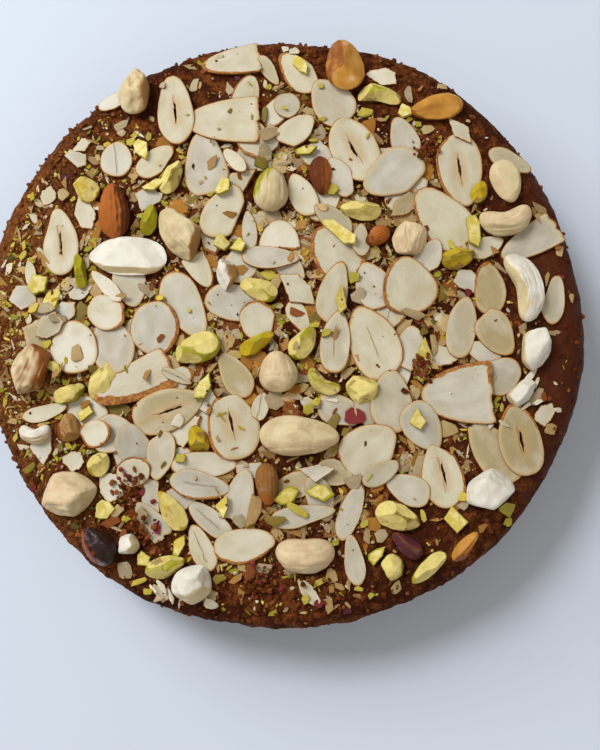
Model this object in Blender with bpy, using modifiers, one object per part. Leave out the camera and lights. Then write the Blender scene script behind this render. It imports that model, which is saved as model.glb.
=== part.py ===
# Jaggery cake: a round, uncut cake with a crumbly crust, strewn with sliced almonds, nuts and pistachios.
# Metres, +Z up, origin at the middle of the flat base.
import math
import random

import bmesh
import bpy
import numpy as np
from mathutils import Matrix, Vector
from mathutils.geometry import convex_hull_2d

MM = 0.001

# Driving dimensions of the cake
CAKE_RADIUS = 100.0 * MM
BASE_RADIUS = 96.0 * MM
BASE_CORNER = 1.5 * MM
RIM_HEIGHT = 33.0 * MM
TOP_HEIGHT = 41.0 * MM
DOME_HEIGHT = 2.0 * MM
SHOULDER_WIDTH = 8.0 * MM
AROUND = 64
WALL_RINGS = 3
SHOULDER_RINGS = 3
TOP_RINGS = 7

# Unevenness of the baked crust
RIM_WAVES = ((2, 0.9, 0.5), (4, 2.2, 0.45), (6, 0.3, 0.3), (10, 1.7, 0.25))
WALL_WAVES = ((8, 0.4, 260.0), (14, 2.0, 410.0), (22, 1.1, 150.0))
WALL_RELIEF = 0.45 * MM
TOP_WAVES = ((210.0, 60.0, 0.3), (-95.0, 190.0, 1.9), (120.0, -160.0, 4.0), (30.0, 235.0, 2.6))
TOP_RELIEF = 0.16 * MM

# How toppings lie
CELL = 1.0 * MM
GRID_HALF = 104
SLICE_THICKNESS = 1.4 * MM
CHIP_THICKNESS = 2.2 * MM
SINK = 0.2 * MM
REST_SHARE = 0.92
STEEPEST_SLICE = 0.4
STEEPEST_NUT = 0.5
NUT_GAP = 0.6 * MM
CLEARANCE = 0.8 * MM
SMALLEST_PART = 0.45
PULL_STEP = 0.04
SPOKE_STEPS = 12

# Shapes of the nuts, as shares of their sizes
NUT_SEGMENTS = 8
NUT_RINGS = 6
FLAT_UNDER = 0.5
BLUNT_END = 0.3
KERNEL_TAPER = 0.2
LENS_TAPER = 0.35
LENS_EDGE = 0.28
LENS_EDGE_FROM = -0.4
CHUNK_SPREAD = 0.64
CHUNK_TOP = 0.75
SIDE_CUTS = 5
CUT_JITTER = 20.0
CUT_LIFT = (-0.1, 0.75)
CUT_REACH = (0.62, 0.8)
TOP_CUT_LEAN = 0.3
TOP_CUT_REACH = 0.78

# Outlines of the slices: points for lengths under each limit in mm, and their pointedness
OUTLINE_POINTS = ((9, 7), (13, 8), (30, 10))
POINTED = 0.2
HARDLY_POINTED = 0.06
RAGGED_REACH = (0.82, 1.08)
DRAW_SEED = 11

# Tidying of the meshes
CORE_WELD = 0.01 * MM
NUT_WELD = 0.05 * MM
BODY_WELD = 0.01 * MM
SHORTEST_SIDE = 0.001 * MM
TOUCH_LIFT = 0.02 * MM
FLAT_ANGLE = math.radians(1.0)

# Sliced almonds from the lowest to the highest: x, y, length, width in mm, turn of the pointed end, form
ALMONDS = (
    (-57.5, 77.5, 10, 6.5, 205, "whole"), (-55, 56.5, 12.5, 11, 95, "round"),
    (-67, 62, 9, 4.5, 20, "ragged"), (-69, 57, 9, 6.5, 330, "ragged"),
    (-45, 74, 14.5, 7.8, 230, "whole"), (-16.5, 90.5, 20, 11.5, 188, "half"),
    (-3.5, 87, 12, 4.8, 302, "whole"), (-10.5, 80.5, 10, 9.5, 75, "half"),
    (-24.5, 53.5, 24, 14.5, 95, "whole"), (-19, 69, 25, 17, 180, "half"),
    (-35, 73, 24.5, 12.5, 98, "slit"), (-41.5, 55.5, 15.5, 8.5, 40, "whole"),
    (-14.5, 54.5, 11.5, 4.8, 130, "whole"), (-3, 62, 11, 8, 60, "ragged"),
    (6.5, 86, 17.5, 10.5, 130, "whole"), (3, 74, 9, 8.8, 20, "round"),
    (18, 75, 18, 14, 120, "whole"), (6, 65, 14.5, 9.5, 35, "whole"),
    (25.5, 58, 24, 16, 115, "slit"), (42, 62, 15, 9.5, 110, "whole"),
    (38.5, 49, 22, 15, 205, "whole"), (35.5, 83.5, 13, 7, 325, "ragged"),
    (21, 48, 14.5, 7.8, 115, "whole"), (60.5, 50.5, 25, 15.5, 275, "slit"),
    (60.5, 64.5, 12, 7, 130, "ragged"), (77, 53.5, 15.5, 7, 335, "whole"),
    (-78, 44.5, 7, 5.5, 80, "ragged"), (-73.5, 28, 23.5, 12, 97, "slit"),
    (-65.5, 37.5, 14, 7, 115, "ragged"), (-85.5, 9.5, 10, 8, 30, "ragged"),
    (-83.3, 17.5, 9, 4, 100, "whole"), (-66.5, 10.5, 9, 6, 20, "ragged"),
    (-54.5, -7.5, 20, 14, 100, "whole"), (-74, 2, 14, 8, 30, "ragged"),
    (-57, 12.3, 15, 5, 135, "whole"), (-56.7, 3.3, 13.5, 12, 150, "round"),
    (-44, 42.5, 10, 7, 30, "ragged"), (-18, 37, 19.5, 13, 60, "whole"),
    (-9.5, 30.5, 14, 5, 95, "whole"), (8, 42.5, 16, 9, 115, "whole"),
    (0.5, 29, 10, 14, 90, "half"), (-2.5, 21, 19.5, 7.5, 357, "whole"),
    (-14, 6, 20, 12.5, 345, "whole"), (-25.5, 17, 12.5, 8.5, 300, "half"),
    (-31, 5.5, 25, 13, 300, "whole"), (-40.5, -2, 18.5, 16, 92, "round"),
    (18.5, 33.5, 15, 8, 140, "whole"), (19.5, 22.5, 21, 16.5, 130, "whole"),
    (27.5, 26.5, 11.5, 5.8, 90, "whole"), (31.5, 11, 17, 12, 110, "whole"),
    (44, 39.5, 14, 7, 35, "ragged"), (54.5, 32.8, 25, 17, 130, "whole"),
    (49.5, 20.5, 13, 9, 60, "whole"), (43, 10.8, 19.5, 17.5, 100, "whole"),
    (18.3, 9, 20.5, 10, 75, "whole"), (6, 10, 14, 9.5, 150, "ragged"),
    (68.5, 24, 12, 7, 20, "whole"), (82.5, 25.5, 21, 11.5, 210, "half"),
    (62, 12.5, 9, 7, 330, "ragged"), (90, 6, 16, 7.5, 80, "whole"),
    (69.3, 10, 18, 10.5, 95, "whole"), (60, -2.8, 20.5, 10, 80, "whole"),
    (71, -5, 17, 11.5, 300, "whole"), (-67.3, -8.3, 17.5, 16.5, 100, "round"),
    (-75.5, -1.5, 10, 8, 20, "ragged"), (-77, -29.5, 16, 5.5, 12, "whole"),
    (-53.5, -37, 15, 12.5, 0, "whole"), (-59.6, -37, 11.5, 9, 10, "round"),
    (-47.5, -20.5, 27, 14, 205, "half"), (-33, -18.5, 10.5, 3.5, 335, "whole"),
    (-36, -29.5, 24, 14, 20, "slit"), (-47.3, -40.5, 13, 11.5, 100, "whole"),
    (-38, -44, 16.5, 9.5, 265, "whole"), (-46.5, -49.5, 11.5, 9.5, 0, "round"),
    (-54.5, -54, 10, 9, 90, "ragged"), (-67, -46, 7, 6.5, 90, "ragged"),
    (-23.5, -47.3, 21.5, 8.5, 0, "whole"), (-14.5, -34.8, 22.5, 17, 105, "slit"),
    (-14, -18, 17, 9.5, 120, "whole"), (-6.5, 0, 13.5, 12, 100, "round"),
    (-5.5, -28.5, 9.5, 5.5, 80, "whole"), (10.5, -28, 9.5, 5, 340, "ragged"),
    (43, -10, 15.5, 9.8, 80, "whole"), (31.3, -8, 25, 16.5, 110, "whole"),
    (19, -7.5, 21, 10, 85, "whole"), (37, -27.3, 20.5, 13.5, 95, "whole"),
    (46.8, -35.5, 17, 12.5, 300, "whole"), (29.5, -43, 20.5, 16.5, 40, "whole"),
    (72.5, -19, 14, 12, 30, "whole"), (58, -25, 23, 20.5, 182, "half"),
    (69.5, -43.5, 24, 13, 125, "whole"), (78, -40, 24, 13.8, 103, "slit"),
    (53, -51.3, 21.5, 13.5, 100, "slit"), (42, -55.5, 15.5, 9.5, 155, "whole"),
    (33.5, -50.5, 13, 6.5, 30, "whole"), (-25, -54, 20.5, 9, 350, "whole"),
    (-12, -57, 17, 10.5, 75, "half"), (-41, -65, 14, 8, 130, "half"),
    (-22, -65, 18, 7.5, 140, "whole"), (-24.5, -74, 16.5, 7.5, 113, "whole"),
    (-10.5, -73.2, 20.5, 11, 8, "whole"), (-37.5, -88, 8, 6, 120, "ragged"),
    (8, -64, 21, 7, 10, "whole"), (12.5, -50, 12, 6.5, 0, "ragged"),
    (23.5, -62.5, 19.5, 7, 68, "whole"), (24.5, -78, 16.5, 6.5, 100, "whole"),
    (10, -88, 10.5, 4.5, 130, "whole"), (86, -31.5, 8, 6, 60, "ragged"),
)

# Pistachio slices and slivers: x, y, length, width in mm and turn
PISTACHIO_CHIPS = (
    (-46.5, 60, 9, 5, 105), (7, 88.3, 8, 4.2, 310), (42.3, 71.5, 6.5, 5, 250), (57.3, 70, 6, 3.6, 40),
    (9, 57.5, 8, 3.6, 10), (-42, 46.5, 9, 4, 15), (-18, 45, 6.5, 5, 250), (-18.5, 26.5, 7, 5, 320),
    (-13, 25, 7, 4.5, 200), (20.2, 29.5, 15, 5, 322), (21.5, 6, 10.5, 4.3, 80), (64.5, 29.3, 10.5, 5.5, 280),
    (-73.5, -15, 6, 4.5, 130), (-80.3, 13.8, 9, 7.5, 35), (-75.3, 7.5, 9, 5.5, 70), (-24, -22, 9.5, 6, 240),
    (47.5, -14, 14, 6, 80), (45.2, -33.5, 6.5, 5, 95), (-60.5, -56, 7, 4, 285), (-43.3, -77.5, 5.5, 4.3, 95),
    (-31.5, -73.5, 7.5, 4.5, 70), (-17.5, -61, 7, 4.2, 260), (3.5, -57.5, 9, 6, 30), (14, -56.5, 9, 6, 350),
    (31.5, -76.5, 8, 4.5, 50), (56.5, -66, 10, 8.5, 100), (-63, -30, 6, 4.8, 80), (-56.5, -62, 6.5, 6, 0),
)

# Chunky nuts, each its own piece: name, kind, x, y, length, width, height in mm, turn, bend in degrees
NUTS = (
    ("almond_chunk_1", "chunk", -48.5, 79.0, 15, 10.5, 7.0, 95, 0),
    ("almond_chunk_2", "chunk", -48.3, -73.0, 6.5, 6.5, 5.0, 0, 0),
    ("almond_chunk_3", "chunk", -27.3, -85.5, 12.5, 11, 7.0, 40, 0),
    ("almond_chunk_4", "chunk", 67.5, -56.5, 14, 13, 8.5, 30, 0),
    ("almond_chunk_5", "chunk", 83.2, -10.2, 13.5, 8.8, 6.0, 60, 0),
    ("almond_chunk_6", "chunk", 78.4, -24.6, 9.5, 6.5, 5.0, 50, 0),
    ("almond_chunk_7", "chunk", -16.8, 15.6, 10, 6, 5.0, 280, 0),
    ("almond_half_1", "lens", -50.0, 22.3, 27, 13.5, 5.5, 177, 0),
    ("almond_half_2", "kernel", 75.5, 45.8, 15.5, 10, 5.5, 285, 0),
    ("golden_almond_1", "kernel", 22.3, 87.0, 19.5, 13, 7.0, 100, 0),
    ("golden_almond_2", "kernel", 53.0, 71.8, 18, 9, 5.0, 190, 0),
    ("golden_almond_3", "chunk", -68.6, -35.0, 8.5, 7, 5.0, 110, 0),
    ("golden_almond_4", "kernel", 59.6, -73.4, 12, 5, 4.0, 50, 0),
    ("skin_almond_1", "kernel", -55.0, 37.8, 19.5, 10.3, 7.0, 95, 0),
    ("skin_almond_2", "kernel", 14.5, 48.5, 13.5, 7.5, 6.0, 275, 0),
    ("skin_almond_3", "kernel", 32.8, 27.6, 9, 6, 5.0, 215, 0),
    ("skin_almond_4", "kernel", -3.2, -53.8, 14, 7.5, 6.0, 275, 0),
    ("cashew_1", "kernel", -2.2, 44.0, 15, 11.5, 8.0, 85, 0),
    ("cashew_2", "chunk", 43.4, 26.4, 11, 9.5, 6.0, 80, 0),
    ("cashew_3", "bean", 75.0, 32.6, 17.5, 8, 7.0, 10, 100),
    ("cashew_4", "bean", -79.5, -36.6, 10.5, 5, 5.5, 0, 130),
    ("cashew_5", "kernel", 0.4, -17.3, 14, 12.5, 8.0, 100, 0),
    ("cashew_6", "kernel", 7.3, -38.3, 26, 13, 8.5, 358, 0),
    ("cashew_7", "chunk", -68.0, -56.3, 17, 12.5, 8.0, 0, 0),
    ("cashew_8", "bean", 9.0, -76.0, 19, 11, 8.5, 0, 60),
    ("cashew_9", "chunk", -32.0, 29.3, 18, 10.5, 7.0, 120, 0),
    ("cashew_10", "bean", 80.4, 10.0, 23.5, 9, 8.0, 105, 80),
    ("cashew_11", "chunk", -81.0, -15.8, 17, 11, 8.0, 70, 0),
    ("pistachio_1", "kernel", 66.6, 42.3, 8, 5.5, 4.5, 70, 0),
    ("pistachio_2", "kernel", 59.2, 20.0, 11.5, 7.5, 5.0, 20, 0),
    ("pistachio_3", "chunk", -57.5, -19.5, 11.5, 8, 4.5, 60, 0),
    ("pistachio_4", "kernel", -26.3, -9.3, 16.5, 9.8, 5.5, 200, 0),
    ("pistachio_5", "kernel", -6.8, -7.6, 13, 5.5, 5.0, 30, 0),
    ("pistachio_6", "kernel", 8.4, -7.8, 12.5, 8, 5.0, 55, 0),
    ("pistachio_7", "bean", 14.8, -21.0, 12.5, 5, 4.5, 325, 90),
    ("pistachio_8", "chunk", 27.8, -23.3, 10.5, 8.5, 5.0, 0, 0),
    ("pistachio_9", "kernel", -34.3, -62.0, 15, 7.5, 4.5, 125, 0),
    ("pistachio_10", "kernel", -36.0, -80.0, 13.5, 7.5, 4.5, 20, 0),
    ("pistachio_11", "kernel", 38.5, -64.3, 15, 8.8, 5.5, 340, 0),
    ("pistachio_12", "kernel", 41.4, -73.3, 12, 5.8, 6.0, 140, 0),
    ("pistachio_13", "kernel", 48.0, -80.2, 14.5, 5.8, 4.5, 222, 0),
    ("pistachio_14", "chunk", 36.6, -80.3, 7, 6.5, 4.5, 70, 0),
    ("pistachio_15", "kernel", -58.2, -46.8, 8.8, 7.3, 5.0, 60, 0),
    ("pistachio_16", "kernel", -25.6, -39.2, 10, 7, 4.5, 110, 0),
    ("pistachio_17", "kernel", -66.2, 17.6, 12.5, 4.6, 4.5, 100, 0),
    ("pistachio_18", "kernel", -35.8, 49.3, 12.5, 6.8, 4.5, 65, 0),
    ("pistachio_19", "kernel", -65.0, 46.0, 10.5, 8, 4.5, 135, 0),
    ("pistachio_20", "bean", 33.4, 76.6, 16.5, 6, 4.5, 172, 60),
    ("pistachio_21", "kernel", 27.5, 36.6, 14, 7, 5.0, 175, 0),
    ("pistachio_22", "kernel", -43.0, 34.6, 11, 5.8, 4.5, 80, 0),
    ("pistachio_23", "kernel", -6.2, 10.4, 13.5, 7.5, 5.0, 160, 0),
    ("pistachio_24", "chunk", -68.4, -23.6, 10, 6, 5.0, 20, 0),
    ("raisin_1", "kernel", -57.6, -72.8, 14, 9.5, 6.5, 130, 0),
)

COLOURS = {
    "crust": (0.105, 0.030, 0.014),
    "almond": (0.74, 0.68, 0.55),
    "golden": (0.63, 0.30, 0.06),
    "skin": (0.36, 0.11, 0.03),
    "cashew": (0.76, 0.62, 0.40),
    "pistachio": (0.55, 0.56, 0.14),
    "raisin": (0.045, 0.012, 0.006),
}
ROUGHNESS = {"crust": 0.75, "raisin": 0.2, "golden": 0.4}
PLAIN_ROUGHNESS = 0.5


def rim_factor(angle):
    """How far the uneven rim swells at an angle; opposite sides swell alike, so the cake stays centred."""
    swell = sum(size * np.cos(count * angle + phase) for count, phase, size in RIM_WAVES)
    return 1.0 + swell * MM / CAKE_RADIUS


def top_relief(x, y):
    waves = sum(np.sin(kx * x + ky * y + phase) for kx, ky, phase in TOP_WAVES)
    return TOP_RELIEF * waves


def crust_height(x, y):
    """Height of the bare crust above the base, from the middle to the rim."""
    radius = np.hypot(x, y) / rim_factor(np.arctan2(y, x))
    edge = CAKE_RADIUS - SHOULDER_WIDTH
    dome = TOP_HEIGHT + DOME_HEIGHT * (1.0 - np.minimum(radius / edge, 1.0) ** 2)
    out = np.clip((radius - edge) / SHOULDER_WIDTH, 0.0, 1.0)
    drop = (TOP_HEIGHT - RIM_HEIGHT) * (1.0 - np.sqrt(1.0 - out ** 2))
    return dome - drop + top_relief(x, y) * (1.0 - out)


def new_object(name, mesh, collection):
    piece = bpy.data.objects.new(name, mesh)
    collection.objects.link(piece)
    return piece


def give_material(piece, kind):
    """Each piece has its own material, coloured for what it is."""
    material = bpy.data.materials.new(piece.name)
    material.use_nodes = True
    shader = material.node_tree.nodes["Principled BSDF"]
    shader.inputs["Base Color"].default_value = (*COLOURS[kind], 1.0)
    shader.inputs["Roughness"].default_value = ROUGHNESS.get(kind, PLAIN_ROUGHNESS)
    shader.inputs["Metallic"].default_value = 0.0
    piece.data.materials.clear()
    piece.data.materials.append(material)


def cake_profile():
    """Half outline of the cake from the middle of its top, over the shoulder, to the middle of its base."""
    edge = CAKE_RADIUS - SHOULDER_WIDTH
    points = [(edge * ring / TOP_RINGS, TOP_HEIGHT) for ring in range(TOP_RINGS)]
    for ring in range(SHOULDER_RINGS + 1):
        turn = 0.5 * math.pi * ring / SHOULDER_RINGS
        radius = edge + SHOULDER_WIDTH * math.sin(turn)
        points.append((radius, RIM_HEIGHT + (TOP_HEIGHT - RIM_HEIGHT) * math.cos(turn)))
    for ring in range(1, WALL_RINGS + 1):
        down = ring / WALL_RINGS
        height = RIM_HEIGHT + (BASE_CORNER - RIM_HEIGHT) * down
        points.append((CAKE_RADIUS + (BASE_RADIUS + BASE_CORNER - CAKE_RADIUS) * down, height))
    points.append((BASE_RADIUS, 0.0))
    points.append((0.0, 0.0))
    return points


def shape_crust(mesh):
    """Swell the rim, roughen the wall and give the top its dome and relief."""
    for vertex in mesh.vertices:
        x, y, z = vertex.co
        if z < BASE_CORNER / 2:
            continue
        angle = math.atan2(y, x)
        radius = math.hypot(x, y)
        rise = min(z / RIM_HEIGHT, 1.0)
        swell = 1.0 + (rim_factor(angle) - 1.0) * rise
        if z < RIM_HEIGHT - BASE_CORNER:
            waves = sum(math.sin(count * angle + phase + rate * z) for count, phase, rate in WALL_WAVES)
            swell += WALL_RELIEF * waves / radius
        vertex.co.x = x * swell
        vertex.co.y = y * swell
        if z > RIM_HEIGHT + BASE_CORNER / 2:
            vertex.co.z = float(crust_height(vertex.co.x, vertex.co.y))


def apply_modifiers(piece):
    """Turn the piece's modifiers into its mesh."""
    graph = bpy.context.evaluated_depsgraph_get()
    mesh = bpy.data.meshes.new_from_object(piece.evaluated_get(graph))
    piece.modifiers.clear()
    piece.data = mesh


def build_core(collection):
    points = cake_profile()
    mesh = bpy.data.meshes.new("cake_body")
    edges = [(index, index + 1) for index in range(len(points) - 1)]
    mesh.from_pydata([(radius, 0.0, height) for radius, height in points], edges, [])
    core = new_object("cake_body", mesh, collection)
    turned = core.modifiers.new("turned", "SCREW")
    turned.steps = AROUND
    turned.render_steps = AROUND
    turned.use_merge_vertices = True
    turned.merge_threshold = CORE_WELD
    apply_modifiers(core)
    shape_crust(core.data)
    return core


def bean_point(along, across, length, width, bend):
    """A point of a bent nut with blunt ends: its spine is an arc that opens towards +Y."""
    half = math.radians(bend) / 2
    reach = (length / 2 - width * BLUNT_END) / math.sin(half)
    turn = along * half
    fuller = math.sqrt((1.0 - along ** 4) / max(1.0 - along ** 2, 0.001))
    radius = reach - across * fuller * width / 2
    ends = along ** 3 * width * BLUNT_END
    middle = reach * (1 + math.cos(half)) / 2
    x = radius * math.sin(turn) + ends * math.cos(turn)
    return x, middle - radius * math.cos(turn) + ends * math.sin(turn)


def cut_planes(name):
    """The broken faces of a chunk, seeded by its name: directions and distances from its middle."""
    draw = random.Random(name)
    planes = []
    first = draw.uniform(0, 360)
    for count in range(SIDE_CUTS):
        turn = math.radians(first + 360 * count / SIDE_CUTS + draw.uniform(-CUT_JITTER, CUT_JITTER))
        lift = draw.uniform(*CUT_LIFT)
        direction = Vector((math.cos(turn), math.sin(turn), lift)).normalized()
        planes.append((direction, draw.uniform(*CUT_REACH)))
    lean = [draw.uniform(-TOP_CUT_LEAN, TOP_CUT_LEAN) for _ in range(2)]
    planes.append((Vector((*lean, 1)).normalized(), TOP_CUT_REACH))
    return planes


def nut_point(point, name, kind, length, width, height, bend):
    """Where a point of the unit ball goes in the nut, whose flat underside is at z = 0."""
    along, across, up = point
    lift = (max(up, -FLAT_UNDER) + FLAT_UNDER) / (1 + FLAT_UNDER)
    if kind == "bean":
        x, y = bean_point(along, across, length, width, bend)
        return Vector((x, y, lift * height))
    if kind == "chunk":
        cut = Vector(point)
        for direction, distance in cut_planes(name):
            over = cut.dot(direction) - distance
            if over > 0:
                cut -= direction * over
        lift = (max(cut.z, -FLAT_UNDER) + FLAT_UNDER) / (CHUNK_TOP + FLAT_UNDER)
        return Vector((cut.x * length * CHUNK_SPREAD, cut.y * width * CHUNK_SPREAD, lift * height))
    taper = 1.0 - KERNEL_TAPER * along
    if kind == "lens":
        lift = max(up, 0.0) * (1.0 - LENS_EDGE) + (LENS_EDGE if up > LENS_EDGE_FROM else 0.0)
        taper = 1.0 - LENS_TAPER * along ** 3
    return Vector((along * length / 2, across * width / 2 * taper, lift * height))


def shape_nut(name, kind, length, width, height, bend):
    """A mesh of the nut lying along X, made from a ball whose poles are its two ends."""
    shape = bmesh.new()
    bmesh.ops.create_uvsphere(shape, u_segments=NUT_SEGMENTS, v_segments=NUT_RINGS, radius=1.0,
                              matrix=Matrix.Rotation(math.pi / 2, 4, "Y"))
    for vertex in shape.verts:
        vertex.co = nut_point(vertex.co, name, kind, length, width, height, bend)
    bmesh.ops.remove_doubles(shape, verts=shape.verts, dist=NUT_WELD)
    bmesh.ops.triangulate(shape, faces=shape.faces)
    bmesh.ops.recalc_face_normals(shape, faces=shape.faces)
    mesh = bpy.data.meshes.new(name)
    shape.to_mesh(mesh)
    shape.free()
    return mesh


class Layers:
    """The height of what lies on the cake so far, on a grid of square cells."""

    def __init__(self):
        steps = np.arange(-GRID_HALF, GRID_HALF + 1) * CELL
        self.x, self.y = np.meshgrid(steps, steps)
        self.height = crust_height(self.x, self.y)
        self.taken = np.zeros(self.x.shape, bool)

    def inside_hull(self, corners, margin):
        inside = np.ones(self.x.shape, bool)
        for (ax, ay), (bx, by) in zip(corners, corners[1:] + corners[:1]):
            size = math.hypot(bx - ax, by - ay)
            if size < SHORTEST_SIDE:
                continue
            away = ((by - ay) * (self.x - ax) - (bx - ax) * (self.y - ay)) / size
            inside &= away < margin
        return inside

    def inside_oval(self, x, y, length, width, turn):
        side = math.cos(turn) * (self.x - x) + math.sin(turn) * (self.y - y)
        cross = math.cos(turn) * (self.y - y) - math.sin(turn) * (self.x - x)
        return (side / (length / 2)) ** 2 + (cross / (width / 2)) ** 2 < 1.0

    def plane_on(self, cells, x, y, steepest, share):
        """The plane that follows what lies in the cells and rests on the given share of them."""
        side = self.x[cells] - x
        cross = self.y[cells] - y
        fit = np.linalg.lstsq(np.stack([np.ones_like(side), side, cross], 1), self.height[cells], rcond=None)[0]
        slope = fit[1:]
        steep = math.hypot(*slope)
        if steep > steepest:
            slope = slope * steepest / steep
        level = np.quantile(self.height[cells] - side * slope[0] - cross * slope[1], share)
        return level, slope

    def cover(self, cells, x, y, level, slope):
        plane = level + slope[0] * (self.x[cells] - x) + slope[1] * (self.y[cells] - y)
        self.height[cells] = np.maximum(self.height[cells], plane)

    def is_taken(self, x, y):
        column = int(round(x / CELL)) + GRID_HALF
        row = int(round(y / CELL)) + GRID_HALF
        return bool(self.taken[row, column])


def plan_hull(mesh):
    """The corners, seen from above and anticlockwise, of the outline round a mesh."""
    flat = [vertex.co.to_2d() / MM for vertex in mesh.vertices]
    return [tuple(flat[index] * MM) for index in convex_hull_2d(flat)]


def build_nut(layers, row, collection):
    """A nut that lies flat on the bare crust, with a hair's gap under it."""
    name, kind, x, y, length, width, height, turn, bend = row
    mesh = shape_nut(name, kind, length * MM, width * MM, height * MM, bend)
    mesh.transform(Matrix.Rotation(math.radians(turn), 4, "Z"))
    mesh.transform(Matrix.Translation((x * MM, y * MM, 0.0)))
    cells = layers.inside_hull(plan_hull(mesh), CELL)
    level, slope = layers.plane_on(cells, x * MM, y * MM, STEEPEST_NUT, 1.0)
    normal = Vector((-slope[0], -slope[1], 1.0)).normalized()
    tilt = Vector((0.0, 0.0, 1.0)).rotation_difference(normal).to_matrix().to_4x4()
    middle = Vector((x * MM, y * MM, 0.0))
    seat = Matrix.Translation(middle + Vector((0.0, 0.0, level + NUT_GAP)))
    mesh.transform(seat @ tilt @ Matrix.Translation(-middle))
    layers.taken |= layers.inside_hull(plan_hull(mesh), CLEARANCE)
    nut = new_object(name, mesh, collection)
    give_material(nut, name.split("_")[0])
    return nut


def slice_outline(length, width, form, count, draw):
    """The outline of a slice lying along X with its pointed end at +X."""
    outline = []
    for step in range(count):
        turn = 2 * math.pi * step / count
        if form == "half":
            bow = math.pi * (step / (count - 1) - 0.5)
            point = (length * (math.cos(bow) - 0.5), width / 2 * math.sin(bow))
        elif form == "ragged":
            reach = draw.uniform(*RAGGED_REACH)
            point = (length / 2 * math.cos(turn) * reach, width / 2 * math.sin(turn) * reach)
        else:
            taper = HARDLY_POINTED if form == "round" else POINTED
            point = (length / 2 * math.cos(turn), width / 2 * math.sin(turn) * (1 - taper * math.cos(turn)))
        outline.append(point)
    return outline


def shorten(layers, x, y, outline):
    """Pull in each point of the outline until it is clear of the nuts; None where too little is left."""
    if layers.is_taken(x, y):
        return None
    kept = []
    for px, py in outline:
        reach = 1.0
        while reach > 0 and layers.is_taken(x + (px - x) * reach, y + (py - y) * reach):
            reach -= PULL_STEP
        steps = [reach * step / SPOKE_STEPS for step in range(SPOKE_STEPS)]
        blocked = [step for step in steps if layers.is_taken(x + (px - x) * step, y + (py - y) * step)]
        if blocked:
            reach = blocked[0]
        kept.append((x + (px - x) * reach, y + (py - y) * reach, reach))
    if sum(reach for _, _, reach in kept) < SMALLEST_PART * len(kept):
        return None
    return [(px, py) for px, py, _ in kept]


def build_slice(layers, name, row, form, thickness, collection, draw):
    """A thin slice that settles on what lies under it."""
    x, y, length, width = (value * MM for value in row[:4])
    turn = math.radians(row[4])
    count = next(points for limit, points in OUTLINE_POINTS if row[2] < limit)
    outline = [(x + u * math.cos(turn) - v * math.sin(turn), y + u * math.sin(turn) + v * math.cos(turn))
               for u, v in slice_outline(length, width, form, count, draw)]
    outline = shorten(layers, x, y, outline)
    if outline is None:
        return
    cells = layers.inside_oval(x, y, length, width, turn) & ~layers.taken
    level, slope = layers.plane_on(cells, x, y, STEEPEST_SLICE, REST_SHARE)
    level -= SINK
    shape = bmesh.new()
    ring = [shape.verts.new((px, py, level + slope[0] * (px - x) + slope[1] * (py - y))) for px, py in outline]
    under = shape.faces.new(ring)
    raised = bmesh.ops.extrude_face_region(shape, geom=[under])
    for corner in raised["geom"]:
        if isinstance(corner, bmesh.types.BMVert):
            corner.co.z += thickness
    bmesh.ops.recalc_face_normals(shape, faces=shape.faces)
    mesh = bpy.data.meshes.new(name)
    shape.to_mesh(mesh)
    shape.free()
    new_object(name, mesh, collection)
    layers.cover(cells, x, y, level + thickness, slope)


def islands(shape):
    """The separate bodies of a mesh, as lists of vertices, the largest first."""
    waiting = set(shape.verts)
    bodies = []
    while waiting:
        body = []
        reached = [waiting.pop()]
        while reached:
            vertex = reached.pop()
            body.append(vertex)
            for edge in vertex.link_edges:
                other = edge.other_vert(vertex)
                if other in waiting:
                    waiting.remove(other)
                    reached.append(other)
        bodies.append(body)
    return sorted(bodies, key=len, reverse=True)


def lift_touching_edges(shape):
    """Where a slice touches what lies below along an edge, draw back the middle of the slice's edge."""
    shape.normal_update()
    for edge in [edge for edge in shape.edges if len(edge.link_faces) == 4]:
        under = [face for face in edge.link_faces if face.normal.z < 0]
        if len(under) != 2:
            continue
        start, end = edge.verts
        away = (under[0].normal + under[1].normal).normalized()
        middle = shape.verts.new((start.co + end.co) / 2 - away * TOUCH_LIFT)
        for face in under:
            corners = list(face.verts)
            for old in (start, end):
                shape.faces.new([middle if corner is old else corner for corner in corners])
        bmesh.ops.delete(shape, geom=under, context="FACES_ONLY")


def keep_one_body(mesh):
    """Drop films without thickness, loose scraps and the walls of sealed hollows: one closed solid is left."""
    shape = bmesh.new()
    shape.from_mesh(mesh)
    bmesh.ops.remove_doubles(shape, verts=shape.verts, dist=BODY_WELD)
    bmesh.ops.dissolve_limit(shape, angle_limit=FLAT_ANGLE, verts=shape.verts, edges=shape.edges)
    bmesh.ops.triangulate(shape, faces=shape.faces)
    sides = {}
    for face in shape.faces:
        sides.setdefault(frozenset(face.verts), []).append(face)
    films = [face for pair in sides.values() if len(pair) > 1 for face in pair]
    bmesh.ops.delete(shape, geom=films, context="FACES")
    lift_touching_edges(shape)
    for body in islands(shape)[1:]:
        bmesh.ops.delete(shape, geom=body, context="VERTS")
    shape.to_mesh(mesh)
    shape.free()


def fuse(core, loose):
    """Join the slices to the crust with one union, then remove them."""
    union = core.modifiers.new("slices", "BOOLEAN")
    union.operation = "UNION"
    union.operand_type = "COLLECTION"
    union.collection = loose
    union.solver = "MANIFOLD"
    apply_modifiers(core)
    for piece in list(loose.objects):
        bpy.data.objects.remove(piece)
    bpy.data.collections.remove(loose)
    keep_one_body(core.data)


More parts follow.
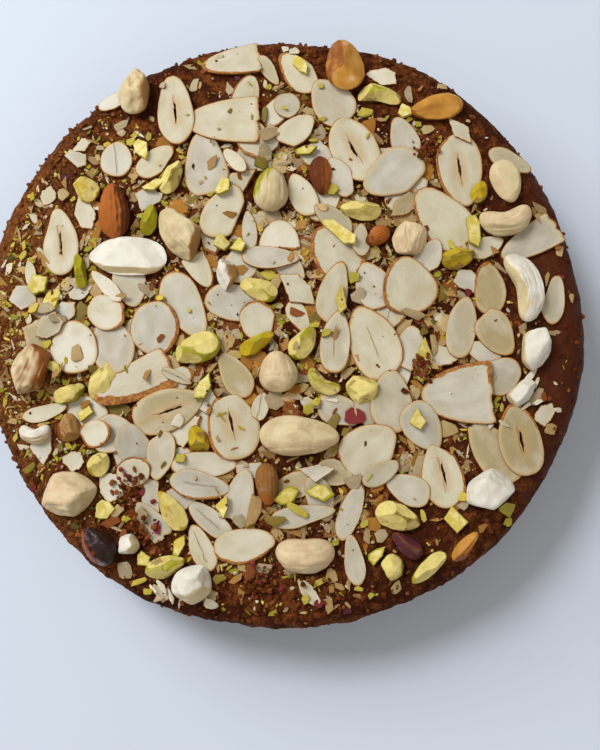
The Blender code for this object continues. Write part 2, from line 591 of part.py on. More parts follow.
def main():
    for piece in list(bpy.data.objects):
        bpy.data.objects.remove(piece)
    cake = bpy.data.collections.new("jaggery_cake")
    loose = bpy.data.collections.new("slices")
    for collection in (cake, loose):
        bpy.context.scene.collection.children.link(collection)
    core = build_core(cake)
    layers = Layers()
    for row in NUTS:
        build_nut(layers, row, cake)
    draw = random.Random(DRAW_SEED)
    for index, row in enumerate(ALMONDS):
        build_slice(layers, f"almond_slice_{index}", row, row[5], SLICE_THICKNESS, loose, draw)
    for index, row in enumerate(PISTACHIO_CHIPS):
        build_slice(layers, f"pistachio_chip_{index}", row, "whole", CHIP_THICKNESS, loose, draw)
    fuse(core, loose)
    give_material(core, "crust")


main()
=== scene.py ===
import math
import random

import bmesh
import bpy
import numpy as np
from mathutils import Matrix, Vector, noise
from mathutils.geometry import convex_hull_2d


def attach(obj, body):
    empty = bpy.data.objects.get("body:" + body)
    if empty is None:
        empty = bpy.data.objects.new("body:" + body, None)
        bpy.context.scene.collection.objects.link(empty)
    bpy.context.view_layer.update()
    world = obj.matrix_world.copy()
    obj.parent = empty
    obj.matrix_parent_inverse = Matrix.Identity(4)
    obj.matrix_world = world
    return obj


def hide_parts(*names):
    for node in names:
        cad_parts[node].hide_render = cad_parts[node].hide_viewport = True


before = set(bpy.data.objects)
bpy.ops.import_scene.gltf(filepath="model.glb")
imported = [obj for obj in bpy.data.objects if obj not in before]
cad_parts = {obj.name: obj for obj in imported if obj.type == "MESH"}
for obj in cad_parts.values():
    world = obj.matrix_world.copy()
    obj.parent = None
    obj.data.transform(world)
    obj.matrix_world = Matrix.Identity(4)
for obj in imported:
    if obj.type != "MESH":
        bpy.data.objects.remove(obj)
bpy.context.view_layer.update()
bpy.ops.object.select_all(action="DESELECT")
mm = 0.001
up = Vector((0.0, 0.0, 1.0))

# The cake's form, the same as that of the solids
cake = {
    "radius": 100 * mm,
    "baseRadius": 96 * mm,
    "baseCorner": 1.5 * mm,
    "rimHeight": 33 * mm,
    "topHeight": 41 * mm,
    "domeHeight": 2 * mm,
    "shoulder": 8 * mm,
    "rimWaves": ((2, 0.9, 0.5), (4, 2.2, 0.45), (6, 0.3, 0.3), (10, 1.7, 0.25)),  # count, phase, size in mm
    "wallWaves": ((8, 0.4, 260.0), (14, 2.0, 410.0), (22, 1.1, 150.0)),  # count, phase, turn with the height
    "wallRelief": 0.45 * mm,
    # Rate along x and along y, and phase
    "topWaves": ((210.0, 60.0, 0.3), (-95.0, 190.0, 1.9), (120.0, -160.0, 4.0), (30.0, 235.0, 2.6)),
    "topRelief": 0.16 * mm,
}


def rimFactor(angle):  # how far the uneven rim swells
    swell = sum(size * np.cos(count * angle + phase) for count, phase, size in cake["rimWaves"])
    return 1.0 + swell * mm / cake["radius"]


def crustHeight(x, y):  # height of the bare crust
    radius = np.hypot(x, y) / rimFactor(np.arctan2(y, x))
    edge = cake["radius"] - cake["shoulder"]
    dome = cake["topHeight"] + cake["domeHeight"] * (1.0 - np.minimum(radius / edge, 1.0) ** 2)
    out = np.clip((radius - edge) / cake["shoulder"], 0.0, 1.0)
    drop = (cake["topHeight"] - cake["rimHeight"]) * (1.0 - np.sqrt(1.0 - out ** 2))
    relief = cake["topRelief"] * sum(np.sin(kx * x + ky * y + phase) for kx, ky, phase in cake["topWaves"])
    return dome - drop + relief * (1.0 - out)


# Small tools for meshes

def startEdit(piece):
    bpy.ops.object.select_all(action="DESELECT")
    bpy.context.view_layer.objects.active = piece
    piece.select_set(True)
    bpy.ops.object.mode_set(mode="EDIT")
    bpy.ops.mesh.select_mode(type="FACE")


def pickFaces(piece, wanted):
    shape = bmesh.from_edit_mesh(piece.data)
    bpy.ops.mesh.select_all(action="DESELECT")
    for face in shape.faces:
        face.select_set(wanted(face))
    bmesh.update_edit_mesh(piece.data)


def applyModifier(piece, kind, **settings):
    modifier = piece.modifiers.new(kind.lower(), kind)
    for key, value in settings.items():
        setattr(modifier, key, value)
    bpy.context.view_layer.objects.active = piece
    bpy.ops.object.modifier_apply(modifier=modifier.name)


def readPlaces(mesh):
    places = np.empty(len(mesh.vertices) * 3)
    mesh.vertices.foreach_get("co", places)
    return places.reshape(-1, 3)


def writePlaces(mesh, places):
    mesh.vertices.foreach_set("co", places.ravel())
    mesh.update()


def ripple(places, size, shift=0.0):  # soft noise, about -1 to 1, in lumps of the given size
    return np.array([noise.noise(place) for place in (places / size + shift).tolist()])


def takeBlank(piece):  # keeps the shape of a model that is copied, and removes the model
    mesh = piece.data
    blank = {"places": readPlaces(mesh), "faces": [list(face.vertices) for face in mesh.polygons]}
    bpy.data.objects.remove(piece)
    return blank


def joinCopies(name, blanks, copies, smooth, **marks):  # copies: places of each copy; marks: values a vertex
    faces = []
    start = 0
    for blank, places in zip(blanks, copies):
        faces.extend([start + corner for corner in face] for face in blank["faces"])
        start += len(places)
    mesh = bpy.data.meshes.new(name)
    mesh.from_pydata(np.concatenate(copies).tolist(), [], faces)
    for mark, values in marks.items():
        values = np.concatenate(values)
        kind = "FLOAT_COLOR" if values.shape[1] == 4 else "FLOAT_VECTOR"
        field = "color" if values.shape[1] == 4 else "vector"
        mesh.attributes.new(mark, kind, "POINT").data.foreach_set(field, values.ravel().astype(np.float32))
    piece = bpy.data.objects.new(name, mesh)
    bpy.context.scene.collection.objects.link(piece)
    bpy.ops.object.select_all(action="DESELECT")
    piece.select_set(True)
    bpy.context.view_layer.objects.active = piece
    bpy.ops.object.shade_smooth_by_angle(angle=math.radians(smooth))
    print(name, "faces", len(faces))
    return piece


# Shader tools

class Wire:  # a socket that sums are written on
    def __init__(self, finish, socket):
        self.finish = finish
        self.socket = socket

    def sum(self, operation, *values):
        return self.finish.sum(operation, *values)

    def __add__(self, other):
        return self.sum("ADD", self, other)

    def __radd__(self, other):
        return self.sum("ADD", other, self)

    def __sub__(self, other):
        return self.sum("SUBTRACT", self, other)

    def __rsub__(self, other):
        return self.sum("SUBTRACT", other, self)

    def __mul__(self, other):
        return self.sum("MULTIPLY", self, other)

    def __rmul__(self, other):
        return self.sum("MULTIPLY", other, self)


shaderInputs = {"specular": "Specular IOR Level", "glow": "Subsurface Weight",
                "glowRadius": "Subsurface Radius", "glowScale": "Subsurface Scale"}


class Finish:  # one material and what goes into it
    def __init__(self, name):
        self.material = bpy.data.materials.new(name)
        self.material.use_nodes = True
        self.tree = self.material.node_tree
        self.shader = self.tree.nodes["Principled BSDF"]

    def add(self, kind, settings=None, values=(), out=0):
        node = self.tree.nodes.new(kind)
        for key, value in (settings or {}).items():
            setattr(node, key, value)
        pairs = values.items() if isinstance(values, dict) else enumerate(values)
        for key, value in pairs:
            self.feed(node.inputs[key], value)
        return Wire(self, node.outputs[out])

    def feed(self, socket, value):
        if isinstance(value, Wire):
            self.tree.links.new(value.socket, socket)
        else:
            socket.default_value = value

    def place(self):
        return self.add("ShaderNodeTexCoord", out="Object")

    def sum(self, operation, *values):
        return self.add("ShaderNodeMath", {"operation": operation}, values)

    def mark(self, name, out="Color"):
        return self.add("ShaderNodeAttribute", {"attribute_name": name}, out=out)

    def split(self, kind, value):  # the three parts of a colour or a vector
        return [self.add(kind, values=[value], out=part) for part in range(3)]

    def noise(self, place, scale, detail=2.0, rough=0.5):
        values = {"Vector": place, "Scale": scale, "Detail": detail, "Roughness": rough}
        return self.add("ShaderNodeTexNoise", values=values)

    def cells(self, place, scale):
        return self.add("ShaderNodeTexVoronoi", values={"Vector": place, "Scale": scale})

    def step(self, value, low, high):  # 0 at low, 1 at high, smooth between, and high may be the lesser
        values = {"Value": value, "From Min": low, "From Max": high}
        return self.add("ShaderNodeMapRange", {"interpolation_type": "SMOOTHSTEP"}, values)

    def mix(self, share, first, second, blend="MIX"):
        settings = {"data_type": "RGBA", "blend_type": blend}
        return self.add("ShaderNodeMix", settings, {0: share, 6: first, 7: second}, 2)

    def layer(self, colour, code, share, value, low, high):  # lays a colour on where the value is high
        return self.mix(self.step(value, low, high) * share, colour, tint(code))

    def stretch(self, place, scale):
        return self.add("ShaderNodeVectorMath", {"operation": "MULTIPLY"}, [place, scale])

    def bump(self, height, distance, strength):
        values = {"Height": height, "Distance": distance, "Strength": strength}
        return self.add("ShaderNodeBump", values=values)

    def done(self, piece, colour, roughness, normal, **constants):
        self.feed(self.shader.inputs["Base Color"], colour)
        self.feed(self.shader.inputs["Roughness"], roughness)
        self.feed(self.shader.inputs["Normal"], normal)
        for key, value in constants.items():
            self.shader.inputs[shaderInputs[key]].default_value = value
        piece.data.materials.clear()
        piece.data.materials.append(self.material)


def tint(code):  # a colour as it looks on the screen, turned into the linear one of the shader
    parts = [int(code[start:start + 2], 16) / 255 for start in (0, 2, 4)]
    linear = [part / 12.92 if part <= 0.04045 else ((part + 0.055) / 1.055) ** 2.4 for part in parts]
    return (*linear, 1.0)


colours = {
    "white": "ded9cb", "cream": "cfbd93", "peach": "d6be97", "tan": "a87f4a",
    "gold": "bf8732", "amber": "8f5016", "skin": "a65f28", "redSkin": "66331a", "oldSkin": "8a5c2c",
    "yolk": "dac878", "lemon": "bda11c", "leaf": "9b940f", "olive": "806a1a", "plum": "5d2a34",
    # ember: painted glow of light shining through the raisin on its lit side
    "raisin": "2a110b", "ember": "8a3c1a",
}

# What lies on the crust: a grid of heights that grows as things are laid

class Layers:
    def __init__(self):
        self.cell = mm
        self.half = 104  # cells from the middle to each side
        steps = np.arange(-self.half, self.half + 1) * self.cell
        self.x, self.y = np.meshgrid(steps, steps)
        self.bare = crustHeight(self.x, self.y)
        self.height = self.bare.copy()
        self.taken = np.zeros(self.x.shape, bool)
        self.strewn = np.zeros(self.x.shape, bool)

    def insideHull(self, corners, margin):
        inside = np.ones(self.x.shape, bool)
        for (ax, ay), (bx, by) in zip(corners, corners[1:] + corners[:1]):
            size = math.hypot(bx - ax, by - ay)
            if size > self.cell / 1000:
                away = ((by - ay) * (self.x - ax) - (bx - ax) * (self.y - ay)) / size
                inside &= away < margin
        return inside

    def insideOval(self, x, y, length, width, turn):
        side = math.cos(turn) * (self.x - x) + math.sin(turn) * (self.y - y)
        cross = math.cos(turn) * (self.y - y) - math.sin(turn) * (self.x - x)
        return (side / (length / 2)) ** 2 + (cross / (width / 2)) ** 2 < 1.0

    def planeOn(self, cells, x, y, steepest, share):  # the plane that rests on that share of the cells
        side = self.x[cells] - x
        cross = self.y[cells] - y
        plane = np.stack([np.ones_like(side), side, cross], 1)
        slope = np.linalg.lstsq(plane, self.height[cells], rcond=None)[0][1:]
        steep = math.hypot(*slope)
        if steep > steepest:
            slope = slope * steepest / steep
        level = np.quantile(self.height[cells] - side * slope[0] - cross * slope[1], share)
        return level, slope

    def cover(self, cells, x, y, level, slope):
        plane = level + slope[0] * (self.x[cells] - x) + slope[1] * (self.y[cells] - y)
        self.height[cells] = np.maximum(self.height[cells], plane)

    def at(self, grid, x, y):
        return grid[int(round(y / self.cell)) + self.half, int(round(x / self.cell)) + self.half]


layers = Layers()

# The crust: a turned cake with a crumbly surface

crust = {
    "around": 256,
    "topRings": 46,
    "shoulderRings": 6,
    "wallRings": 16,
    "lumps": ((8.0, 0.30, 3.1), (3.2, 0.26, 7.7), (1.5, 0.20, 12.4)),  # size and depth in mm, shift
    "pitSize": 2.6 * mm,
    "pitDepth": 0.9 * mm,
    "pitShift": 31.0,
    "pitStart": 0.25,
    "pitSpan": 0.4,
    "footHeight": mm,  # smooth up to here, and fully rough a span higher
    "footSpan": 3 * mm,
    "rimStart": 0.93,  # share of the radius from which the rim is rougher
    "rimSpan": 0.04,
    "rimRougher": 0.8,
    "rimSmoothFrom": 60 * mm,  # baked smooth on the right
    "leftSide": (-50 * mm, -100 * mm),
    "topOnly": (28 * mm, 38 * mm),
    "bakedSide": (72 * mm, 90 * mm),
    "wallBelow": (34 * mm, 20 * mm),
    "dark": "421c0b",
    "crumb": "6c3614",
    "lightCrumb": "90602c",
    "left": "78451f",
    "leftCrumb": "a87a40",
    # darker blotches laid by noise
    "darkBlotch": "2c1006",
    # hole: painted shade in the small holes of the crumb
    "hole": "1c0a03",
    "baked": "481f0c",
    "wall": "54290f",
}


def wallRings():  # radius and height of the rings from the edge of the top down to the base
    edge = cake["radius"] - cake["shoulder"]
    rings = []
    for ring in range(1, crust["shoulderRings"] + 1):
        turn = 0.5 * math.pi * ring / crust["shoulderRings"]
        fall = (cake["topHeight"] - cake["rimHeight"]) * math.cos(turn)
        rings.append((edge + cake["shoulder"] * math.sin(turn), cake["rimHeight"] + fall))
    low = cake["baseRadius"] + cake["baseCorner"]
    for ring in range(1, crust["wallRings"] + 1):
        down = ring / crust["wallRings"]
        height = cake["rimHeight"] + (cake["baseCorner"] - cake["rimHeight"]) * down
        rings.append((cake["radius"] + (low - cake["radius"]) * down, height))
    rings.append((cake["baseRadius"], 0.0))
    return rings


def sortParts(parts, place):
    ranks = {part: rank for rank, part in enumerate(sorted(parts, key=place))}
    parts.sort(key=ranks.get)
    parts.index_update()


def settleOrder(mesh):  # the edit tools leave it in an order that changes from run to run
    shape = bmesh.new()
    shape.from_mesh(mesh)
    sortParts(shape.verts, lambda point: point.co[:])
    for parts in (shape.edges, shape.faces):
        sortParts(parts, lambda part: sorted(point.index for point in part.verts))
    shape.to_mesh(mesh)
    shape.free()


def buildCrust():
    edge = cake["radius"] - cake["shoulder"]
    bpy.ops.mesh.primitive_circle_add(vertices=crust["around"], radius=edge, fill_type="NGON",
                                      location=(0, 0, cake["topHeight"]))
    piece = bpy.context.object
    piece.name = piece.data.name = "crust"
    bpy.ops.object.transform_apply(location=True)
    startEdit(piece)
    bpy.ops.mesh.select_all(action="SELECT")
    for _ in range(crust["topRings"] - 1):
        bpy.ops.mesh.inset(thickness=edge / crust["topRings"])
    bpy.ops.mesh.poke()
    bpy.ops.mesh.select_mode(type="EDGE")
    bpy.ops.mesh.select_all(action="DESELECT")
    bpy.ops.mesh.select_non_manifold(extend=False)
    lastRadius, lastHeight = edge, cake["topHeight"]
    for radius, height in wallRings():
        bpy.ops.mesh.extrude_edges_move()
        swell = radius / lastRadius
        bpy.ops.transform.resize(value=(swell, swell, 1.0), center_override=(0, 0, lastHeight))
        bpy.ops.transform.translate(value=(0, 0, height - lastHeight))
        lastRadius, lastHeight = radius, height
    bpy.ops.mesh.edge_face_add()
    bpy.ops.mesh.select_all(action="SELECT")
    bpy.ops.mesh.normals_make_consistent(inside=False)
    bpy.ops.object.mode_set(mode="OBJECT")
    settleOrder(piece.data)
    applyModifier(piece, "SUBSURF", subdivision_type="SIMPLE", levels=1, render_levels=1)
    roughenCrust(piece)
    bpy.ops.object.shade_smooth()
    return piece


def roughenCrust(piece):
    places = readPlaces(piece.data)
    x, y, z = places.T
    angle = np.arctan2(y, x)
    radius = np.maximum(np.hypot(x, y), mm)
    rise = np.clip(z / cake["rimHeight"], 0.0, 1.0)
    swell = 1.0 + (rimFactor(angle) - 1.0) * rise
    waves = sum(np.sin(count * angle + phase + rate * z) for count, phase, rate in cake["wallWaves"])
    low = (z < cake["rimHeight"] - cake["baseCorner"]) & (z > cake["baseCorner"] / 2)
    swell = swell + np.where(low, cake["wallRelief"] * waves / radius, 0.0)
    x, y = x * swell, y * swell
    z = np.where(z > cake["rimHeight"] + cake["baseCorner"] / 2, crustHeight(x, y), z)
    places = np.stack([x, y, z], 1)
    writePlaces(piece.data, places)
    normals = np.empty(len(places) * 3)
    piece.data.vertex_normals.foreach_get("vector", normals)
    depth = sum(ripple(places, size * mm, shift) * deep * mm for size, deep, shift in crust["lumps"])
    pits = ripple(places, crust["pitSize"], crust["pitShift"])
    depth -= np.clip(-pits - crust["pitStart"], 0.0, crust["pitSpan"]) / crust["pitSpan"] * crust["pitDepth"]
    depth *= np.clip((places[:, 2] - crust["footHeight"]) / crust["footSpan"], 0.0, 1.0)
    rim = np.clip((radius / cake["radius"] - crust["rimStart"]) / crust["rimSpan"], 0.0, 1.0)
    depth *= 1.0 + crust["rimRougher"] * rim * (x < crust["rimSmoothFrom"])
    writePlaces(piece.data, places + normals.reshape(-1, 3) * depth[:, None])


def finishCrust(piece):
    finish = Finish("crustFinish")
    place = finish.place()
    wide = finish.noise(place, 38.0, 3.0)
    lumps = finish.noise(place, 240.0, 4.0, 0.65)
    fine = finish.noise(place, 1300.0, 3.0, 0.65)
    crumb = finish.cells(place, 620.0)
    across, _, height = finish.split("ShaderNodeSeparateXYZ", place)
    leftSide = finish.step(across, *crust["leftSide"]) * finish.step(height, *crust["topOnly"])
    baked = finish.step(across + (wide - 0.5) * 0.05, *crust["bakedSide"])
    crumbly = finish.step(lumps + (wide - 0.5) * 0.8, 0.42, 0.62) * (1.0 - baked * 0.75)
    colour = finish.mix(crumbly, tint(crust["dark"]), tint(crust["crumb"]))
    colour = finish.layer(colour, crust["lightCrumb"], crumbly * 0.65, fine, 0.5, 0.66)
    colour = finish.mix(leftSide * 0.75, colour, tint(crust["left"]))
    colour = finish.layer(colour, crust["leftCrumb"], leftSide * 0.65, fine, 0.52, 0.68)
    # Darker blotches laid by noise, away from the left band
    colour = finish.layer(colour, crust["darkBlotch"], (1.0 - leftSide) * 0.55, wide, 0.56, 0.66)
    # Near-black spots: painted shade in the crumb's small holes
    colour = finish.layer(colour, crust["hole"], (1.0 - baked * 0.8) * 0.5, crumb, 0.5, 0.8)
    colour = finish.mix(baked * 0.65, colour, tint(crust["baked"]))
    colour = finish.layer(colour, crust["wall"], 0.6, height, *crust["wallBelow"])
    relief = (lumps + fine * 0.5 - crumb * 0.5) * (1.0 - baked * 0.55)
    rough = 0.82 - baked * 0.3 + fine * 0.1
    finish.done(piece, colour, rough, finish.bump(relief, 1.1 * mm, 0.95), specular=0.08)


crustPiece = buildCrust()
finishCrust(crustPiece)
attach(crustPiece, "root")
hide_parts("cake_body")
print("crust", len(crustPiece.data.polygons))

# Loose nuts: name, kind, x, y, length, width, height in mm, turn, bend, colour, side colour, side turn; a
# side colour turned east or south, away from the light, is partly painted shade

nuts = (
    ("almond_chunk_1", "chunk", -48.5, 79.0, 15, 10.5, 7.0, 95, 0, "cream", "tan", 0),
    ("almond_chunk_2", "chunk", -48.3, -73.0, 6.5, 6.5, 5.0, 0, 0, "white", "cream", 0),
    ("almond_chunk_3", "chunk", -27.3, -85.5, 12.5, 11, 7.0, 40, 0, "white", "cream", 300),
    ("almond_chunk_4", "chunk", 67.5, -56.5, 14, 13, 8.5, 30, 0, "white", "white", 0),
    ("almond_chunk_5", "chunk", 83.2, -10.2, 13.5, 8.8, 6.0, 60, 0, "white", "cream", 180),
    ("almond_chunk_6", "chunk", 78.4, -24.6, 9.5, 6.5, 5.0, 50, 0, "white", "cream", 180),
    ("almond_chunk_7", "chunk", -16.8, 15.6, 10, 6, 5.0, 280, 0, "white", "tan", 0),
    ("almond_half_1", "lens", -50.0, 22.3, 27, 13.5, 5.5, 177, 0, "white", "cream", 270),
    ("almond_half_2", "kernel", 75.5, 45.8, 15.5, 10, 5.5, 285, 0, "cream", "peach", 200),
    ("golden_almond_1", "kernel", 22.3, 87.0, 19.5, 13, 7.0, 100, 0, "gold", "amber", 180),
    ("golden_almond_2", "kernel", 53.0, 71.8, 18, 9, 5.0, 190, 0, "gold", "amber", 200),
    ("golden_almond_3", "chunk", -68.6, -35.0, 8.5, 7, 5.0, 110, 0, "tan", "amber", 180),
    ("golden_almond_4", "kernel", 59.6, -73.4, 12, 5, 4.0, 50, 0, "gold", "amber", 300),
    ("skin_almond_1", "kernel", -55.0, 37.8, 19.5, 10.3, 7.0, 95, 0, "skin", "redSkin", 0),
    ("skin_almond_2", "kernel", 14.5, 48.5, 13.5, 7.5, 6.0, 275, 0, "redSkin", "skin", 0),
    ("skin_almond_3", "kernel", 32.8, 27.6, 9, 6, 5.0, 215, 0, "skin", "redSkin", 200),
    ("skin_almond_4", "kernel", -3.2, -53.8, 14, 7.5, 6.0, 275, 0, "oldSkin", "skin", 270),
    ("cashew_1", "kernel", -2.2, 44.0, 15, 11.5, 8.0, 85, 0, "cream", "leaf", 130),
    ("cashew_2", "chunk", 43.4, 26.4, 11, 9.5, 6.0, 80, 0, "peach", "peach", 0),
    ("cashew_3", "bean", 75.0, 32.6, 17.5, 8, 7.0, 10, 100, "peach", "cream", 270),
    ("cashew_4", "bean", -79.5, -36.6, 10.5, 5, 5.5, 0, 130, "white", "cream", 270),
    ("cashew_5", "kernel", 0.4, -17.3, 14, 12.5, 8.0, 100, 0, "peach", "cream", 0),
    ("cashew_6", "kernel", 7.3, -38.3, 26, 13, 8.5, 358, 0, "cream", "peach", 270),
    ("cashew_7", "chunk", -68.0, -56.3, 17, 12.5, 8.0, 0, 0, "peach", "cream", 0),
    ("cashew_8", "bean", 9.0, -76.0, 19, 11, 8.5, 0, 60, "peach", "peach", 270),
    ("cashew_9", "chunk", -32.0, 29.3, 18, 10.5, 7.0, 120, 0, "cream", "tan", 320),
    ("cashew_10", "bean", 80.4, 10.0, 23.5, 9, 8.0, 105, 80, "white", "cream", 180),
    ("cashew_11", "chunk", -81.0, -15.8, 17, 11, 8.0, 70, 0, "cream", "amber", 15),
    ("pistachio_1", "kernel", 66.6, 42.3, 8, 5.5, 4.5, 70, 0, "lemon", "leaf", None),
    ("pistachio_2", "kernel", 59.2, 20.0, 11.5, 7.5, 5.0, 20, 0, "lemon", "olive", None),
    ("pistachio_3", "chunk", -57.5, -19.5, 11.5, 8, 4.5, 60, 0, "yolk", "leaf", None),
    ("pistachio_4", "kernel", -26.3, -9.3, 16.5, 9.8, 5.5, 200, 0, "yolk", "leaf", None),
    ("pistachio_5", "kernel", -6.8, -7.6, 13, 5.5, 5.0, 30, 0, "lemon", "leaf", None),
    ("pistachio_6", "kernel", 8.4, -7.8, 12.5, 8, 5.0, 55, 0, "yolk", "leaf", None),
    ("pistachio_7", "bean", 14.8, -21.0, 12.5, 5, 4.5, 325, 90, "yolk", "leaf", None),
    ("pistachio_8", "chunk", 27.8, -23.3, 10.5, 8.5, 5.0, 0, 0, "yolk", "leaf", None),
    ("pistachio_9", "kernel", -34.3, -62.0, 15, 7.5, 4.5, 125, 0, "yolk", "lemon", None),
    ("pistachio_10", "kernel", -36.0, -80.0, 13.5, 7.5, 4.5, 20, 0, "yolk", "leaf", None),
    ("pistachio_11", "kernel", 38.5, -64.3, 15, 8.8, 5.5, 340, 0, "yolk", "olive", None),
    ("pistachio_12", "kernel", 41.4, -73.3, 12, 5.8, 6.0, 140, 0, "plum", "redSkin", None),
    ("pistachio_13", "kernel", 48.0, -80.2, 14.5, 5.8, 4.5, 222, 0, "yolk", "leaf", None),
    ("pistachio_14", "chunk", 36.6, -80.3, 7, 6.5, 4.5, 70, 0, "yolk", "leaf", None),
    ("pistachio_15", "kernel", -58.2, -46.8, 8.8, 7.3, 5.0, 60, 0, "yolk", "leaf", None),
    ("pistachio_16", "kernel", -25.6, -39.2, 10, 7, 4.5, 110, 0, "lemon", "olive", None),
    ("pistachio_17", "kernel", -66.2, 17.6, 12.5, 4.6, 4.5, 100, 0, "leaf", "lemon", None),
    ("pistachio_18", "kernel", -35.8, 49.3, 12.5, 6.8, 4.5, 65, 0, "yolk", "olive", None),
    ("pistachio_19", "kernel", -65.0, 46.0, 10.5, 8, 4.5, 135, 0, "yolk", "lemon", None),
    ("pistachio_20", "bean", 33.4, 76.6, 16.5, 6, 4.5, 172, 60, "yolk", "leaf", None),
    ("pistachio_21", "kernel", 27.5, 36.6, 14, 7, 5.0, 175, 0, "yolk", "leaf", None),
    ("pistachio_22", "kernel", -43.0, 34.6, 11, 5.8, 4.5, 80, 0, "leaf", "olive", None),
    ("pistachio_23", "kernel", -6.2, 10.4, 13.5, 7.5, 5.0, 160, 0, "yolk", "leaf", None),
    ("pistachio_24", "chunk", -68.4, -23.6, 10, 6, 5.0, 20, 0, "yolk", "leaf", None),
    # The raisin's side colour on its lit left side is a painted glow of light shining through
    ("raisin_1", "kernel", -57.6, -72.8, 14, 9.5, 6.5, 130, 0, "raisin", "ember", 190),
)
facets = {  # flat faces of each sort: how many, how far they look up, how far out they lie
    "almond": (3, (0.5, 1.0), (0.72, 0.84)),
    "golden": (3, (0.2, 0.9), (0.7, 0.86)),
    "skin": (1, (0.4, 0.9), (0.9, 0.96)),
    "cashew": (2, (0.2, 0.9), (0.86, 0.94)),
    "pistachio": (4, (0.15, 1.0), (0.62, 0.84)),
    "raisin": (0, (0.0, 1.0), (1.0, 1.0)),
}
ownFacets = {  # nuts with faces of their own: direction along, across and up, and how far out it lies
    "almond_half_1": ((0.0, 0.1, 1.0, 0.62), (-0.75, -0.35, 0.55, 0.66),
                      (0.8, -0.3, 0.5, 0.68), (0.0, 0.9, 0.4, 0.8)),
    "almond_half_2": ((0.0, 0.2, 1.0, 0.72), (0.3, -0.8, 0.5, 0.75)),
    "golden_almond_1": ((0.3, 0.6, 0.7, 0.62), (-0.2, -0.7, 0.7, 0.66), (-0.8, 0.1, 0.6, 0.74)),
    "golden_almond_2": ((0.0, 0.5, 0.8, 0.6), (0.5, -0.5, 0.7, 0.72)),
    "cashew_10": ((0.0, -0.35, 0.9, 0.66), (0.7, -0.4, 0.6, 0.8), (-0.5, 0.6, 0.7, 0.8)),
    "cashew_6": ((0.55, 0.5, 0.6, 0.78), (-0.3, 0.7, 0.6, 0.88)),
}
nutForm = {
    "flatUnder": 0.5,
    "bluntEnd": 0.3,
    "kernelTaper": 0.2,
    "lensTaper": 0.35,
    "lensEdge": 0.28,
    "lensEdgeFrom": -0.4,
    "chunkSpread": 0.64,
    "chunkTop": 0.75,
    "sideCuts": 5,
    "cutJitter": 20.0,
    "facetJitter": 25.0,
    "facetSquash": 0.6,
    "cutLift": (-0.1, 0.75),
    "cutReach": (0.62, 0.8),
    "topCutLean": 0.3,
    "topCutReach": 0.78,
    "softEdge": 0.13,
    "steepest": 0.5,
    "gap": 0.6 * mm,
    "clearance": 0.8 * mm,
    "smooth": 42,
    "opened": 0.03,  # how far a face is cut back to count as open
    "fineLumps": (0.45, 0.4),  # size and depth of the finer lumps, against those of the sort
    "brokenLumps": ((2.4, 0.3, 5), (1.0, 0.1, 6)),  # on chunks: size and depth in mm, shift
    "ridgeWander": (5.0, 9, 1.5),  # size in mm, shift, how far
    "seam": (0.22, 0.12, 0.06, 0.32, 0.8),  # place, sway, width, depth in mm, length
    "fold": (0.62, 0.05, 0.2, 0.85),  # place, width, depth in mm, length
    "crackLean": 0.12,
    "crack": (0.025, 0.3),  # width, depth in mm
    "foot": (0.45, 0.3),  # how low the relief ends, and how softly
    "shrink": 0.1 * mm,
    "patch": 1.8 * mm,
    "patchShift": 4.0,
    "shade": (0.3, 0.25),  # where the side colour starts, and how softly
    "sidePatches": 0.4,
    "brokenShade": (0.55, 0.3, 0.8),  # of a chunk: how far up a face looks, how softly, how patchy
    "skinShade": (0.9, 0.55),  # of a nut with split faces: how much skin it has, how patchy
}
# Nuts whose side colour starts elsewhere, or more softly: on each it lies east, away from the light, and is
# partly painted shade
softShade = {"cashew_11": (-0.5, 0.9), "cashew_7": (0.0, 0.7), "almond_chunk_1": (-0.1, 0.35)}
cracks = {"cashew_6": 0.4, "cashew_5": -0.3, "golden_almond_1": 0.2}  # how far along a crack runs across
# Relief of each sort: size and depth of lumps in mm, and the count and depth in mm of lengthwise ridges
nutRelief = {
    "almond": (3.0, 0.13, 0, 0.0),
    "golden": (3.0, 0.20, 9, 0.07),
    "skin": (1.8, 0.18, 17, 0.09),
    "cashew": (4.5, 0.22, 13, 0.055),
    "pistachio": (2.4, 0.20, 4, 0.06),
    "raisin": (2.6, 0.55, 5, 0.2),
}
# Finish of each sort: roughness, glow, grain, cloudiness, shine
nutLooks = {
    "almond": (0.5, 0.16, 0.10, 0.35, 0.3),
    "golden": (0.4, 0.12, 0.22, 0.9, 0.25),
    "skin": (0.68, 0.05, 0.55, 0.4, 0.12),
    "cashew": (0.5, 0.16, 0.18, 0.7, 0.3),
    "pistachio": (0.5, 0.12, 0.25, 0.6, 0.25),
    "raisin": (0.3, 0.05, 0.25, 1.0, 0.3),
}


def cutPlanes(name):  # the broken faces of a chunk, drawn from its name as in the solids
    draw = random.Random(name)
    planes = []
    first = draw.uniform(0, 360)
    for count in range(nutForm["sideCuts"]):
        jitter = draw.uniform(-nutForm["cutJitter"], nutForm["cutJitter"])
        turn = math.radians(first + 360 * count / nutForm["sideCuts"] + jitter)
        direction = np.array([math.cos(turn), math.sin(turn), draw.uniform(*nutForm["cutLift"])])
        planes.append((direction / np.linalg.norm(direction), draw.uniform(*nutForm["cutReach"])))
    lean = [draw.uniform(-nutForm["topCutLean"], nutForm["topCutLean"]) for _ in range(2)]
    direction = np.array([*lean, 1.0])
    planes.append((direction / np.linalg.norm(direction), nutForm["topCutReach"]))
    return planes


